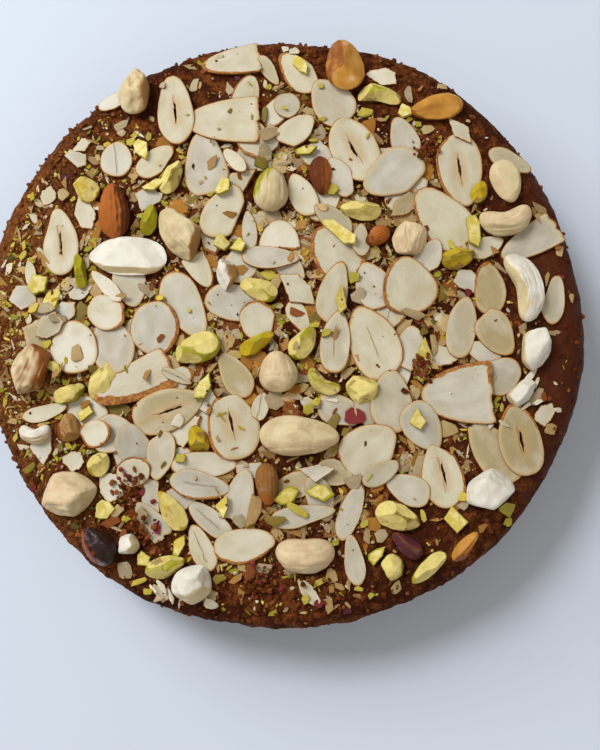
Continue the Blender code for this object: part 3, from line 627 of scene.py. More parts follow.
def facetPlanes(sort, draw):  # a few flat faces where a nut is cut or split
    count, lifts, reaches = facets[sort]
    first = draw.uniform(0, 360)
    planes = []
    for number in range(count):
        jitter = draw.uniform(-nutForm["facetJitter"], nutForm["facetJitter"])
        turn = math.radians(first + 360 * number / count + jitter)
        direction = np.array([math.cos(turn) * nutForm["facetSquash"], math.sin(turn), draw.uniform(*lifts)])
        planes.append((direction / np.linalg.norm(direction), draw.uniform(*reaches)))
    return planes


def cutFlat(ball, planes, soft):  # soft rounds the edges between the faces
    cut = ball.copy()
    for direction, distance in planes:
        over = cut @ direction - distance
        cut -= (over + np.sqrt(over ** 2 + soft ** 2))[:, None] / 2 * direction
    return cut


def beanPlaces(along, across, length, width, bend):
    half = math.radians(bend) / 2
    reach = (length / 2 - width * nutForm["bluntEnd"]) / math.sin(half)
    fuller = np.sqrt((1.0 - along ** 4) / np.maximum(1.0 - along ** 2, 0.001))
    radius = reach - across * fuller * width / 2
    ends = along ** 3 * width * nutForm["bluntEnd"]
    middle = reach * (1 + math.cos(half)) / 2
    turn = along * half
    x = radius * np.sin(turn) + ends * np.cos(turn)
    return x, middle - radius * np.cos(turn) + ends * np.sin(turn)


def nutPlaces(cut, kind, length, width, height, bend):
    flat = nutForm["flatUnder"]
    along, across, rise = cut.T
    lift = (np.maximum(rise, -flat) + flat) / (1 + flat)
    if kind == "bean":
        x, y = beanPlaces(along, across, length, width, bend)
        return np.stack([x, y, lift * height], 1)
    if kind == "chunk":
        lift = (np.maximum(rise, -flat) + flat) / (nutForm["chunkTop"] + flat)
        spread = nutForm["chunkSpread"]
        return np.stack([along * length * spread, across * width * spread, lift * height], 1)
    taper = 1.0 - nutForm["kernelTaper"] * along
    if kind == "lens":
        edge = nutForm["lensEdge"]
        lift = np.maximum(rise, 0.0) * (1.0 - edge) + np.where(rise > nutForm["lensEdgeFrom"], edge, 0.0)
        taper = 1.0 - nutForm["lensTaper"] * along ** 3
    return np.stack([along * length / 2, across * width / 2 * taper, lift * height], 1)


def turned(places, turn, x, y):
    cosine, sine = math.cos(turn), math.sin(turn)
    flat = places[:, :2] @ np.array([[cosine, sine], [-sine, cosine]])
    return np.column_stack([flat[:, 0] + x, flat[:, 1] + y, places[:, 2]])


def planHull(places):
    flat = [Vector(place) for place in (places[:, :2] / mm).tolist()]
    return [tuple(flat[index] * mm) for index in convex_hull_2d(flat)]


def sortOf(name):
    return name.split("_")[0]


def groove(offset, width, depth):  # a soft groove along the line where the offset is 0
    return np.exp(-(offset / width) ** 2) * depth * mm


def nutLumps(name, kind, ball, places, shift):  # how far out each point is moved
    size, deep, ridges, ridgeDeep = nutRelief[sortOf(name)]
    finer, shallower = nutForm["fineLumps"]
    reliefs = ((size, deep, 0), (size * finer, deep * shallower, 0))
    if kind == "chunk":  # rough where it broke
        reliefs += nutForm["brokenLumps"]
    lumps = sum(ripple(places, size * mm, shift + more) * deep * mm for size, deep, more in reliefs)
    along, across, rise = ball.T
    if ridges:
        size, more, far = nutForm["ridgeWander"]
        wander = ripple(places, size * mm, shift + more) * far
        lumps += np.sin(ridges * np.arctan2(across, rise) + wander) * ridgeDeep * mm * (1 - along ** 4)
    if sortOf(name) == "cashew":  # the seam where the halves of the kernel meet, and a fold beside it
        place, sway, *form, length = nutForm["seam"]
        seam = groove(across - place - sway * np.sin(3 * along + shift), *form)
        lumps -= seam * (np.abs(along) < length) * np.clip(rise * 3, 0, 1)
        place, *form, length = nutForm["fold"]
        lumps -= groove(across + place, *form) * (np.abs(along) < length)
    if name in cracks:
        lumps -= groove(along - cracks[name] - nutForm["crackLean"] * across, *nutForm["crack"])
    low, soft = nutForm["foot"]
    return lumps * np.clip((rise + low) / soft, 0.0, 1.0) - nutForm["shrink"]


def buildNut(row, blank):
    name, kind, x, y, length, width, height, turn, bend = row[:9]
    x, y, length, width, height = (value * mm for value in (x, y, length, width, height))
    ball = blank["places"]
    if name in ownFacets:
        planes = [(np.array(way) / np.linalg.norm(way), reach) for *way, reach in ownFacets[name]]
    elif kind == "chunk":
        planes = cutPlanes(name)
    else:
        planes = facetPlanes(sortOf(name), random.Random(name))
    cut = cutFlat(ball, planes, nutForm["softEdge"] if kind == "chunk" else 0.0)
    opened = np.clip(np.linalg.norm(ball - cut, axis=1) / nutForm["opened"], 0.0, 1.0)
    places = nutPlaces(cut, kind, length, width, height, bend)
    shift = sum(ord(letter) for letter in name) * 0.37  # so that no two nuts share their relief
    places = places + ball * nutLumps(name, kind, ball, places, shift)[:, None]
    places[:, 2] = np.maximum(places[:, 2], 0.0)
    places = turned(places, math.radians(turn), x, y)
    cells = layers.insideHull(planHull(places), layers.cell)
    level, slope = layers.planeOn(cells, x, y, nutForm["steepest"], 1.0)
    normal = Vector((-slope[0], -slope[1], 1.0)).normalized()
    tilt = up.rotation_difference(normal).to_matrix()
    middle = np.array([x, y, 0.0])
    places = (places - middle) @ np.array(tilt).T + middle + np.array([0, 0, level + nutForm["gap"]])
    layers.taken |= layers.insideHull(planHull(places), nutForm["clearance"])
    return places, paintNut(row, blank, places, shift, opened)


def paintNut(row, blank, places, shift, opened):  # its two colours: by the cut faces, or by where it faces
    main, side, sideTurn = row[9:]
    outward = faceDirections(blank, places)
    patches = ripple(places, nutForm["patch"], shift + nutForm["patchShift"])
    if sideTurn is None and row[1] == "chunk":
        lift, soft, patchy = nutForm["brokenShade"]
        share = (lift - outward[:, 2]) / soft + patches * patchy
    elif sideTurn is None:
        most, patchy = nutForm["skinShade"]
        share = most - opened + patches * patchy
    else:
        # Side colour by where a face points: partly the nut's own skin or toast, partly painted shade on
        # sides turned from the light
        turn = math.radians(sideTurn)
        facing = outward[:, 0] * math.cos(turn) + outward[:, 1] * math.sin(turn)
        start, soft = softShade.get(row[0], nutForm["shade"])
        share = (facing - start) / soft + patches * nutForm["sidePatches"]
    first, second = (np.array(tint(colours[code])) for code in (main, side))
    return first + (second - first) * np.clip(share, 0.0, 1.0)[:, None]


def faceDirections(blank, places):  # vertex normals of the shaped copy
    triangles = np.array(blank["faces"])
    corners = places[triangles]
    facing = np.cross(corners[:, 1] - corners[:, 0], corners[:, 2] - corners[:, 0])
    total = np.zeros_like(places)
    for corner in range(3):
        np.add.at(total, triangles[:, corner], facing)
    return total / np.maximum(np.linalg.norm(total, axis=1), 1e-15)[:, None]


def finishNuts(piece, sort):
    rough, glow, grain, cloudy, shine = nutLooks[sort]
    finish = Finish(sort + "Finish")
    place = finish.place()
    paint = finish.mark("paint")
    cloud = finish.noise(place, 220.0, 3.0)
    fine = finish.noise(place, 1500.0, 3.0, 0.6)
    dark = finish.mix(1.0, paint, tint("a97b4f"), "MULTIPLY")
    light = finish.mix(0.4, paint, tint("fffdf4"))
    colour = finish.mix(finish.step(cloud, 0.62, 0.36) * cloudy * 0.35, paint, dark)
    colour = finish.mix(finish.step(cloud, 0.6, 0.8) * cloudy * 0.5, colour, light)
    if sort == "pistachio":  # scraps of its purple skin
        scraps = finish.noise(place, 150.0, 4.0, 0.6)
        colour = finish.layer(colour, "6e4236", 0.6, scraps, 0.6, 0.64)
    colour = finish.mix(finish.step(fine, 0.62, 0.8) * grain * 1.6, colour, dark)
    specks = finish.cells(place, 420.0)
    colour = finish.layer(colour, "5a3a22", 0.5, specks, 0.09, 0.04)
    relief = cloud * 0.6 + fine * (0.25 + grain)
    finish.done(piece, colour, rough + fine * 0.15, finish.bump(relief, 0.35 * mm, 0.8),
                specular=shine, glow=glow, glowRadius=(1.0, 0.7, 0.4), glowScale=1.5 * mm)


def buildNuts():
    bpy.ops.mesh.primitive_ico_sphere_add(subdivisions=5, radius=1.0)
    ball = takeBlank(bpy.context.object)
    slots = {"almond": "almond", "golden": "golden_almond", "skin": "almond_skin",
             "cashew": "cashew", "pistachio": "pistachio", "raisin": "raisin"}
    shaped = {row[0]: buildNut(row, ball) for row in nuts}
    for sort, slot in slots.items():
        names = [row[0] for row in nuts if sortOf(row[0]) == sort]
        copies, paint = zip(*(shaped[name] for name in names))
        piece = joinCopies(sort + "Nuts", [ball] * len(names), copies, nutForm["smooth"], paint=paint)
        finishNuts(piece, sort)
        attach(piece, "root")
        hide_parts(*names)


buildNuts()

# Sliced almonds, lowest first: x, y, length, width in mm, turn of the pointed end, form, colour and rims

almonds = (
    (-57.5, 77.5, 10, 6.5, 205, "whole", "grey"), (-55, 56.5, 12.5, 11, 95, "round", "grey"),
    (-67, 62, 9, 4.5, 20, "ragged", "cream"), (-69, 57, 9, 6.5, 330, "ragged", "grey"),
    (-45, 74, 14.5, 7.8, 230, "whole", "cream"), (-16.5, 90.5, 20, 11.5, 188, "half", "cream southwest"),
    (-3.5, 87, 12, 4.8, 302, "whole", "cream"), (-10.5, 80.5, 10, 9.5, 75, "half", "cream northwest"),
    (-24.5, 53.5, 24, 14.5, 95, "whole", "grey"), (-19, 69, 25, 17, 180, "half", "cream"),
    (-35, 73, 24.5, 12.5, 98, "slit", "cream"), (-41.5, 55.5, 15.5, 8.5, 40, "whole", "cream"),
    (-14.5, 54.5, 11.5, 4.8, 130, "whole", "cream"), (-3, 62, 11, 8, 60, "ragged", "grey"),
    (6.5, 86, 17.5, 10.5, 130, "whole", "cream west"), (3, 74, 9, 8.8, 20, "round", "cream"),
    (18, 75, 18, 14, 120, "whole", "grey"), (6, 65, 14.5, 9.5, 35, "whole", "cream"),
    (25.5, 58, 24, 16, 115, "slit", "cream"), (42, 62, 15, 9.5, 110, "whole", "grey"),
    (38.5, 49, 22, 15, 205, "whole", "grey"), (35.5, 83.5, 13, 7, 325, "ragged", "cream"),
    (21, 48, 14.5, 7.8, 115, "whole", "grey"), (60.5, 50.5, 25, 15.5, 275, "slit", "cream west"),
    (60.5, 64.5, 12, 7, 130, "ragged", "cream"), (77, 53.5, 15.5, 7, 335, "whole", "cream"),
    (-78, 44.5, 7, 5.5, 80, "ragged", "cream"), (-73.5, 28, 23.5, 12, 97, "slit", "cream"),
    (-65.5, 37.5, 14, 7, 115, "ragged", "cream"), (-85.5, 9.5, 10, 8, 30, "ragged", "grey"),
    (-83.3, 17.5, 9, 4, 100, "whole", "cream"), (-66.5, 10.5, 9, 6, 20, "ragged", "grey"),
    (-54.5, -7.5, 20, 14, 100, "whole", "grey"), (-74, 2, 14, 8, 30, "ragged", "grey"),
    (-57, 12.3, 15, 5, 135, "whole", "cream"), (-56.7, 3.3, 13.5, 12, 150, "round", "cream east"),
    (-44, 42.5, 10, 7, 30, "ragged", "grey"), (-18, 37, 19.5, 13, 60, "whole", "cream"),
    (-9.5, 30.5, 14, 5, 95, "whole", "grey"), (8, 42.5, 16, 9, 115, "whole", "cream"),
    (0.5, 29, 10, 14, 90, "half", "cream south"), (-2.5, 21, 19.5, 7.5, 357, "whole", "grey"),
    (-14, 6, 20, 12.5, 345, "whole", "grey"), (-25.5, 17, 12.5, 8.5, 300, "half", "cream east"),
    (-31, 5.5, 25, 13, 300, "whole", "grey"), (-40.5, -2, 18.5, 16, 92, "round", "grey east"),
    (18.5, 33.5, 15, 8, 140, "whole", "grey"), (19.5, 22.5, 21, 16.5, 130, "whole", "cream east west"),
    (27.5, 26.5, 11.5, 5.8, 90, "whole", "cream"), (31.5, 11, 17, 12, 110, "whole", "grey"),
    (44, 39.5, 14, 7, 35, "ragged", "tan"), (54.5, 32.8, 25, 17, 130, "whole", "cream southwest"),
    (49.5, 20.5, 13, 9, 60, "whole", "grey"), (43, 10.8, 19.5, 17.5, 100, "whole", "cream west"),
    (18.3, 9, 20.5, 10, 75, "whole", "cream"), (6, 10, 14, 9.5, 150, "ragged", "cream"),
    (68.5, 24, 12, 7, 20, "whole", "cream"), (82.5, 25.5, 21, 11.5, 210, "half", "grey"),
    (62, 12.5, 9, 7, 330, "ragged", "grey"), (90, 6, 16, 7.5, 80, "whole", "grey"),
    # The tan slices at the right are partly painted shade, darker where less light falls
    (69.3, 10, 18, 10.5, 95, "whole", "tan northwest"), (60, -2.8, 20.5, 10, 80, "whole", "grey"),
    (71, -5, 17, 11.5, 300, "whole", "tan"), (-67.3, -8.3, 17.5, 16.5, 100, "round", "cream"),
    (-75.5, -1.5, 10, 8, 20, "ragged", "grey"), (-77, -29.5, 16, 5.5, 12, "whole", "cream"),
    (-53.5, -37, 15, 12.5, 0, "whole", "grey"), (-59.6, -37, 11.5, 9, 10, "round", "cream east west south"),
    (-47.5, -20.5, 27, 14, 205, "half", "cream widesouth"), (-33, -18.5, 10.5, 3.5, 335, "whole", "cream"),
    (-36, -29.5, 24, 14, 20, "slit", "tan"), (-47.3, -40.5, 13, 11.5, 100, "whole", "grey"),
    (-38, -44, 16.5, 9.5, 265, "whole", "grey"), (-46.5, -49.5, 11.5, 9.5, 0, "round", "cream north"),
    (-54.5, -54, 10, 9, 90, "ragged", "cream"), (-67, -46, 7, 6.5, 90, "ragged", "cream"),
    (-23.5, -47.3, 21.5, 8.5, 0, "whole", "cream"), (-14.5, -34.8, 22.5, 17, 105, "slit", "cream west"),
    (-14, -18, 17, 9.5, 120, "whole", "tan"), (-6.5, 0, 13.5, 12, 100, "round", "cream north"),
    (-5.5, -28.5, 9.5, 5.5, 80, "whole", "cream"), (10.5, -28, 9.5, 5, 340, "ragged", "cream"),
    (43, -10, 15.5, 9.8, 80, "whole", "grey"), (31.3, -8, 25, 16.5, 110, "whole", "cream"),
    (19, -7.5, 21, 10, 85, "whole", "grey"), (37, -27.3, 20.5, 13.5, 95, "whole", "grey"),
    (46.8, -35.5, 17, 12.5, 300, "whole", "grey"), (29.5, -43, 20.5, 16.5, 40, "whole", "cream"),
    (72.5, -19, 14, 12, 30, "whole", "grey"), (58, -25, 23, 20.5, 182, "half", "grey north"),
    (69.5, -43.5, 24, 13, 125, "whole", "tan"), (78, -40, 24, 13.8, 103, "slit", "tan north"),
    (53, -51.3, 21.5, 13.5, 100, "slit", "cream east"), (42, -55.5, 15.5, 9.5, 155, "whole", "grey"),
    (33.5, -50.5, 13, 6.5, 30, "whole", "cream"), (-25, -54, 20.5, 9, 350, "whole", "grey south"),
    (-12, -57, 17, 10.5, 75, "half", "grey"), (-41, -65, 14, 8, 130, "half", "grey"),
    (-22, -65, 18, 7.5, 140, "whole", "grey"), (-24.5, -74, 16.5, 7.5, 113, "whole", "cream"),
    (-10.5, -73.2, 20.5, 11, 8, "whole", "cream south"), (-37.5, -88, 8, 6, 120, "ragged", "cream"),
    (8, -64, 21, 7, 10, "whole", "grey"), (12.5, -50, 12, 6.5, 0, "ragged", "grey"),
    (23.5, -62.5, 19.5, 7, 68, "whole", "grey"), (24.5, -78, 16.5, 6.5, 100, "whole", "grey"),
    (10, -88, 10.5, 4.5, 130, "whole", "cream"), (86, -31.5, 8, 6, 60, "ragged", "cream"),
)
# Sliced pistachios: x, y, length, width in mm, turn
pistachioChips = (
    (-46.5, 60, 9, 5, 105), (7, 88.3, 8, 4.2, 310), (42.3, 71.5, 6.5, 5, 250), (57.3, 70, 6, 3.6, 40),
    (9, 57.5, 8, 3.6, 10), (-42, 46.5, 9, 4, 15), (-18, 45, 6.5, 5, 250), (-18.5, 26.5, 7, 5, 320),
    (-13, 25, 7, 4.5, 200), (20.2, 29.5, 15, 5, 322), (21.5, 6, 10.5, 4.3, 80), (64.5, 29.3, 10.5, 5.5, 280),
    (-73.5, -15, 6, 4.5, 130), (-80.3, 13.8, 9, 7.5, 35), (-75.3, 7.5, 9, 5.5, 70), (-24, -22, 9.5, 6, 240),
    (47.5, -14, 14, 6, 80), (45.2, -33.5, 6.5, 5, 95), (-60.5, -56, 7, 4, 285), (-43.3, -77.5, 5.5, 4.3, 95),
    (-31.5, -73.5, 7.5, 4.5, 70), (-17.5, -61, 7, 4.2, 260), (3.5, -57.5, 9, 6, 30), (14, -56.5, 9, 6, 350),
    (31.5, -76.5, 8, 4.5, 50), (56.5, -66, 10, 8.5, 100), (-63, -30, 6, 4.8, 80), (-56.5, -62, 6.5, 6, 0),
)
slices = {
    "points": 44,
    "rings": (0.045, 0.085, 0.15, 0.22, 0.25),
    "thickness": 1.3 * mm,
    "chipThickness": 2.2 * mm,
    "sink": 0.2 * mm,
    "restShare": 0.92,
    "steepest": 0.4,
    "lean": 0.035,
    "lowest": 52,  # more slices, half hidden under the others
    "lowestApart": 8.0,
    "smooth": 38,
    "taper": {"whole": 0.2, "slit": 0.12, "round": 0.06},
    "brokenFrom": 1.9,  # angle where a broken edge starts
    "waves": ((2, 0.02), (3, 0.025), (5, 0.014)),  # lobes of an outline, and their sizes
    "slitWaves": ((2, 0.2), (5, 0.15), (9, 0.1)),
    "slitLength": 0.15,
    "slitWidth": 0.45 * mm,
    "slitOff": (0.06, 0.04),  # how far from the middle, against length and width
    "brokenShare": 0.45,  # how many whole slices lack an end or a side
    "brokenReach": (0.8, 0.93),
    "chipTips": {"ragged": 0.82, "chip": 0.7},  # how near the middle a corner may be
    "chipReach": 1.22,
    "chipTorn": 0.025,
    "jag": {"ragged": 0.1, "chip": 0.06},  # roughness of the edge in mm, else plainJag
    "plainJag": 0.035,
    "halfJag": (0.16, 0.03),  # of a half: its broken edge, and the rest
    "edgeDrop": 0.15,
    "edgeRise": 0.1,
    "bend": (-0.3 * mm, 0.5 * mm),
    "twist": 0.2 * mm,
    "ripple": (4.5 * mm, 0.14 * mm),  # size and depth
    # What the mark of a slice says: below 60 plain, from 60 with a crease, from 80 with a slit
    "marks": {"slit": (82, 99), "whole": (20, 66), "round": (20, 64)},
    "plainMarks": (0, 58),
    "creaseMark": 60,
    "slitMark": 80,
    "rindFrom": 0.935,
    "rindSpan": 0.045,
    "rindWidth": 0.15,
    "wideRind": 0.42,
}
compass = {"east": 0, "north": 90, "northwest": 135, "west": 180, "southwest": 225, "south": 270}


def facesUp(face):
    return face.normal.z > 0.9


def facesDown(face):
    return face.normal.z < -0.9


def sliceBlank(holed):  # a round blank of radius 1 from z -1 to 1, with or without a hole for a slit
    bpy.ops.mesh.primitive_cylinder_add(vertices=slices["points"], radius=1.0, depth=2.0)
    piece = bpy.context.object
    startEdit(piece)
    for side in (facesUp, facesDown):
        pickFaces(piece, side)
        for ring in slices["rings"]:
            bpy.ops.mesh.inset(thickness=ring)
        if holed:
            bpy.ops.mesh.delete(type="FACE")
        else:
            bpy.ops.mesh.poke()
    if holed:
        bpy.ops.mesh.select_mode(type="EDGE")
        bpy.ops.mesh.select_non_manifold(extend=False)
        bpy.ops.mesh.bridge_edge_loops()
    bpy.ops.mesh.select_all(action="SELECT")
    bpy.ops.mesh.quads_convert_to_tris()
    bpy.ops.mesh.normals_make_consistent(inside=False)
    bpy.ops.object.mode_set(mode="OBJECT")
    return takeBlank(piece)


def wobble(angles, draw, sizes):  # slow unevenness round an outline: lobes and their sizes
    return sum(size * np.sin(lobes * angles + draw.uniform(0, 6.28)) for lobes, size in sizes)


def chipOutline(count, draw, low, high, torn):  # points round an angular chip with straight sides
    corners = draw.randint(4, 7)
    turns = [(number + draw.uniform(-0.36, 0.36)) * 2 * math.pi / corners for number in range(corners)]
    tips = [(reach * math.cos(turn), reach * math.sin(turn))
            for turn, reach in ((turn, draw.uniform(low, high)) for turn in turns)]
    points = []
    for number in range(corners):
        first, second = tips[number], tips[(number + 1) % corners]
        steps = round(count * (number + 1) / corners) - round(count * number / corners)
        for step in range(steps):
            share = step / steps
            dent = 1.0 + (draw.uniform(-torn, torn) if step else 0.0)
            points.append([(start * (1 - share) + stop * share) * dent for start, stop in zip(first, second)])
    return np.array(points)


def outlineOf(form, length, width, angles, draw):  # outline of a slice that points along x
    size = np.array([length, width])
    if form == "half":
        start = slices["brokenFrom"]
        bow = np.clip(angles / start, -1.0, 1.0) * math.pi / 2
        inner = np.clip((np.abs(angles) - start) / (math.pi - start), 0.0, 1.0)
        uneven = np.sin(inner * 5.0 * np.sign(angles) + draw.uniform(0, 6)) * 0.35 * mm * (inner > 0)
        return np.stack([(np.cos(bow) - 0.5) * length + uneven, np.sin(bow) * width / 2 * (1 - inner)], 1)
    if form in slices["chipTips"]:
        tips = slices["chipTips"][form]
        return chipOutline(len(angles), draw, tips, slices["chipReach"], slices["chipTorn"]) * size / 2
    taper = 1 - slices["taper"].get(form, 0.0) * np.cos(angles)
    reach = 1.0 + wobble(angles, draw, slices["waves"])
    if draw.random() < slices["brokenShare"]:  # an end or a side that broke off
        turn = draw.uniform(-math.pi, math.pi)
        broken = draw.uniform(*slices["brokenReach"])
        reach = np.minimum(reach, broken / np.maximum(np.cos(angles - turn), 0.1))
    return np.stack([np.cos(angles) * reach, np.sin(angles) * taper * reach], 1) * size / 2


def slicePlan(form, length, width, unit, angles, draw):  # places from above, and how near the edge they lie
    points = slices["points"]
    spread = np.hypot(unit[:, 0], unit[:, 1])
    names = np.round(angles * points / (2 * math.pi)).astype(int) % points
    rimAngles = (np.arange(points) * 2 * math.pi / points + math.pi) % (2 * math.pi) - math.pi
    outline = outlineOf(form, length, width, rimAngles, draw)
    jag = np.array([draw.gauss(0, 1) for _ in rimAngles])
    if form == "half":
        jag *= np.where(np.abs(rimAngles) > slices["brokenFrom"], *slices["halfJag"])
    else:
        jag *= slices["jag"].get(form, slices["plainJag"])
    outline += outline / np.maximum(np.linalg.norm(outline, axis=1), mm)[:, None] * (jag * mm)[:, None]
    inner = np.zeros_like(outline)
    if form == "slit":
        slit = 1.0 + wobble(rimAngles, draw, slices["slitWaves"])
        inner = np.stack([np.cos(rimAngles) * length * slices["slitLength"] * slit,
                          np.sin(rimAngles) * slices["slitWidth"] * slit], 1)
        offs = zip(slices["slitOff"], (length, width))
        inner += np.array([draw.uniform(-off, off) * size for off, size in offs])
        hole = 1 - sum(slices["rings"])
        spread = np.clip((spread - hole) / (1 - hole), 0.0, 1.0)
    return inner[names] + (outline[names] - inner[names]) * spread[:, None], spread


def buildSlice(row, form, thickness, blank, draw):
    x, y, length, width = (value * mm for value in row[:4])
    turn = math.radians(row[4])
    if layers.at(layers.taken, x, y):
        return None
    unit = blank["places"]
    angles = np.arctan2(unit[:, 1], unit[:, 0])
    flat, spread = slicePlan(form, length, width, unit, angles, draw)
    cells = layers.insideOval(x, y, length, width, turn) & ~layers.taken
    level, slope = layers.planeOn(cells, x, y, slices["steepest"], slices["restShare"])
    slope = slope + np.array([draw.gauss(0, slices["lean"]) for _ in range(2)])
    level -= slices["sink"]
    edge = np.clip((spread - 1) / slices["rings"][0] + 1, 0.0, 1.0)
    rim = np.where(unit[:, 2] > 0, 1 - slices["edgeDrop"] * edge, slices["edgeRise"] * edge)
    bend = draw.uniform(*slices["bend"])
    twist = draw.uniform(-slices["twist"], slices["twist"])
    z = thickness * rim + bend * (flat[:, 0] / (length / 2)) ** 2 + twist * flat[:, 1] / (width / 2)
    uneven = np.column_stack([flat, np.full(len(flat), draw.uniform(0, 100) * mm)])
    size, deep = slices["ripple"]
    z = z + ripple(uneven, size) * deep - min(bend, 0.0) * 0.5
    places = turned(np.column_stack([flat, z]), turn, x, y)
    places[:, 2] += level + slope[0] * (places[:, 0] - x) + slope[1] * (places[:, 1] - y)
    layers.cover(cells, x, y, level + thickness, slope)
    mark = draw.uniform(*slices["marks"].get(form, slices["plainMarks"]))
    own = np.column_stack([flat / mm, np.full(len(flat), mark)])
    return places, own, spread, angles + turn


# Red is how grey it is, green the brown rind, blue the nearness of the edge and alpha how tan it is, which on
# the slices at the right is partly painted shade
def sliceLook(look, spread, directions, draw):
    tone, *rims = look.split()
    grey = {"grey": 0.9, "cream": 0.25, "tan": 0.1}[tone] + draw.uniform(-0.25, 0.1)
    skin = np.clip((spread - slices["rindFrom"]) / slices["rindSpan"], 0.0, 1.0)
    skin = skin * (draw.uniform(0.58, 1.0) - 0.1 * (tone == "grey"))
    for rim in rims:
        away = np.cos(directions - math.radians(compass[rim.removeprefix("wide")]))
        most = slices["wideRind"] if rim.startswith("wide") else slices["rindWidth"]
        wide = np.clip((away - 0.1) / 0.6, 0.0, 1.0) * most
        skin = np.maximum(skin, np.clip((spread - 1.0 + wide) / 0.04, 0.0, 1.0) * (wide > 0.01))
    tan = 0.85 if tone == "tan" else draw.uniform(0.0, 0.25)
    return np.column_stack([np.full(len(spread), grey), skin, spread, np.full(len(spread), tan)])


def finishAlmonds(piece, name):
    finish = Finish(name)
    place = finish.place()
    own = finish.mark("own", "Vector")
    along, across, mark = finish.split("ShaderNodeSeparateXYZ", own)
    grey, skin, edge = finish.split("ShaderNodeSeparateColor", finish.mark("look"))
    tan = finish.mark("look", "Alpha")
    cloud = finish.noise(finish.stretch(own, (0.13, 0.2, 1.0)), 1.0, 3.0)
    streaks = finish.noise(finish.stretch(own, (0.3, 2.2, 1.0)), 1.0, 3.0, 0.6)
    fine = finish.noise(place, 1800.0, 3.0, 0.6)
    brown = finish.noise(place, 700.0, 3.0, 0.6)
    tone = finish.noise(finish.stretch(own, (0.0, 0.0, 3.7)), 1.0, 0.0)
    crease = finish.step(mark, slices["creaseMark"], slices["creaseMark"] + 1)
    slit = finish.step(mark, slices["slitMark"], slices["slitMark"] + 1)
    flesh = finish.mix(grey, tint("c8bfa4"), tint("aea89b"))
    flesh = finish.layer(flesh, "d7d2c5", 0.6, tone, 0.52, 0.75)
    flesh = finish.layer(flesh, "aa9b78", 0.5, tone, 0.45, 0.25)
    # Tan slices: partly a toasted colour, partly painted shade on those at the right
    flesh = finish.mix(tan * 0.9, flesh, tint("937a43"))
    flesh = finish.layer(flesh, "d4cebe", 0.4, cloud, 0.4, 0.75)
    flesh = finish.layer(flesh, "ac9d76", 0.42, cloud, 0.52, 0.25)
    flesh = finish.layer(flesh, "978762", 0.25, streaks, 0.54, 0.75)
    flesh = finish.layer(flesh, "c9b88e", 0.4, edge, 0.72, 0.94)
    # A warm band just inside the rim: painted glow of light through the thinner edge
    flesh = finish.layer(flesh, "b08443", 0.4, edge, 0.86, 0.98)
    flesh = finish.layer(flesh, "b8935f", slit * 0.5, edge, 0.5, 0.08)
    line = finish.sum("ABSOLUTE", across + (cloud - 0.5) * 3.0)
    length = finish.sum("ABSOLUTE", along + (cloud - 0.5) * 8.0)
    crease = crease * finish.step(length, 6.0, 4.5) * finish.step(line, 0.28, 0.05)
    flesh = finish.mix(crease * 0.55, flesh, tint("8d7046"))
    spotted = finish.step(finish.noise(place, 90.0, 1.0), 0.48, 0.62)
    flesh = finish.layer(flesh, "3b2a20", spotted * 0.75, finish.cells(place, 400.0), 0.085, 0.03)
    rind = finish.mix(finish.step(brown, 0.35, 0.7), tint("7c4614"), tint("b57931"))
    patchy = finish.step(skin + (brown - 0.5) * 0.9, 0.34, 0.56)
    relief = fine * 0.2 + streaks * 0.3 + cloud * 0.5 - crease * 1.2 + patchy * 0.2
    rough = 0.46 + fine * 0.18 + patchy * 0.15
    finish.done(piece, finish.mix(patchy, flesh, rind), rough, finish.bump(relief, 0.25 * mm, 0.7),
                specular=0.35, glow=0.12, glowRadius=(1.0, 0.8, 0.5), glowScale=1.2 * mm)


def finishChips(piece, name):
    finish = Finish(name)
    place = finish.place()
    green, purple, edge = finish.split("ShaderNodeSeparateColor", finish.mark("look"))
    patches = finish.noise(place, 420.0, 3.0, 0.6)
    fine = finish.noise(place, 1700.0, 3.0, 0.6)
    inside = finish.mix(finish.step(patches, 0.4, 0.65), tint("c9b450"), tint("e0d18e"))
    rim = finish.mix(finish.step(patches, 0.35, 0.7), tint("8c850b"), tint("aea21a"))
    share = finish.step(edge * 0.8 + green * 0.6 + (patches - 0.5) * 0.8, 0.78, 0.96)
    colour = finish.mix(share, inside, rim)
    colour = finish.layer(colour, "7a3c48", 1.0, purple + (patches - 0.5), 0.6, 0.8)
    colour = finish.layer(colour, "7d7a2c", 0.3, fine, 0.6, 0.8)
    finish.done(piece, colour, 0.5 + fine * 0.2, finish.bump(patches * 0.5 + fine * 0.4, 0.3 * mm, 0.8),
                specular=0.25, glow=0.12, glowRadius=(1.0, 0.9, 0.4), glowScale=1.0 * mm)


def layAll(rows, settle):  # lays each row with settle and gathers what could be laid
    laid = [shaped for shaped in (settle(row) for row in rows) if shaped]
    return [list(column) for column in zip(*laid)]


def cover(x, y):  # how thickly the crust is strewn at a place in mm: hardly at the right rim
    outward = min(max((math.hypot(x, y) - 62) / 24, 0.0), 1.0)
    leftward = min(max((-x - 40) / 35, 0.0), 1.0) * (1.0 if y < 45 else 0.5)
    thin = 0.06 if x > 30 or y > 70 else 0.2
    return 1.0 - outward * (1.0 - max(thin, 0.6 * leftward))


def liesOn(row, x, y):
    turn = math.radians(row[4])
    side = math.cos(turn) * (x - row[0]) + math.sin(turn) * (y - row[1])
    cross = math.cos(turn) * (y - row[1]) - math.sin(turn) * (x - row[0])
    return math.hypot(side / row[2], cross / row[3]) < 0.4


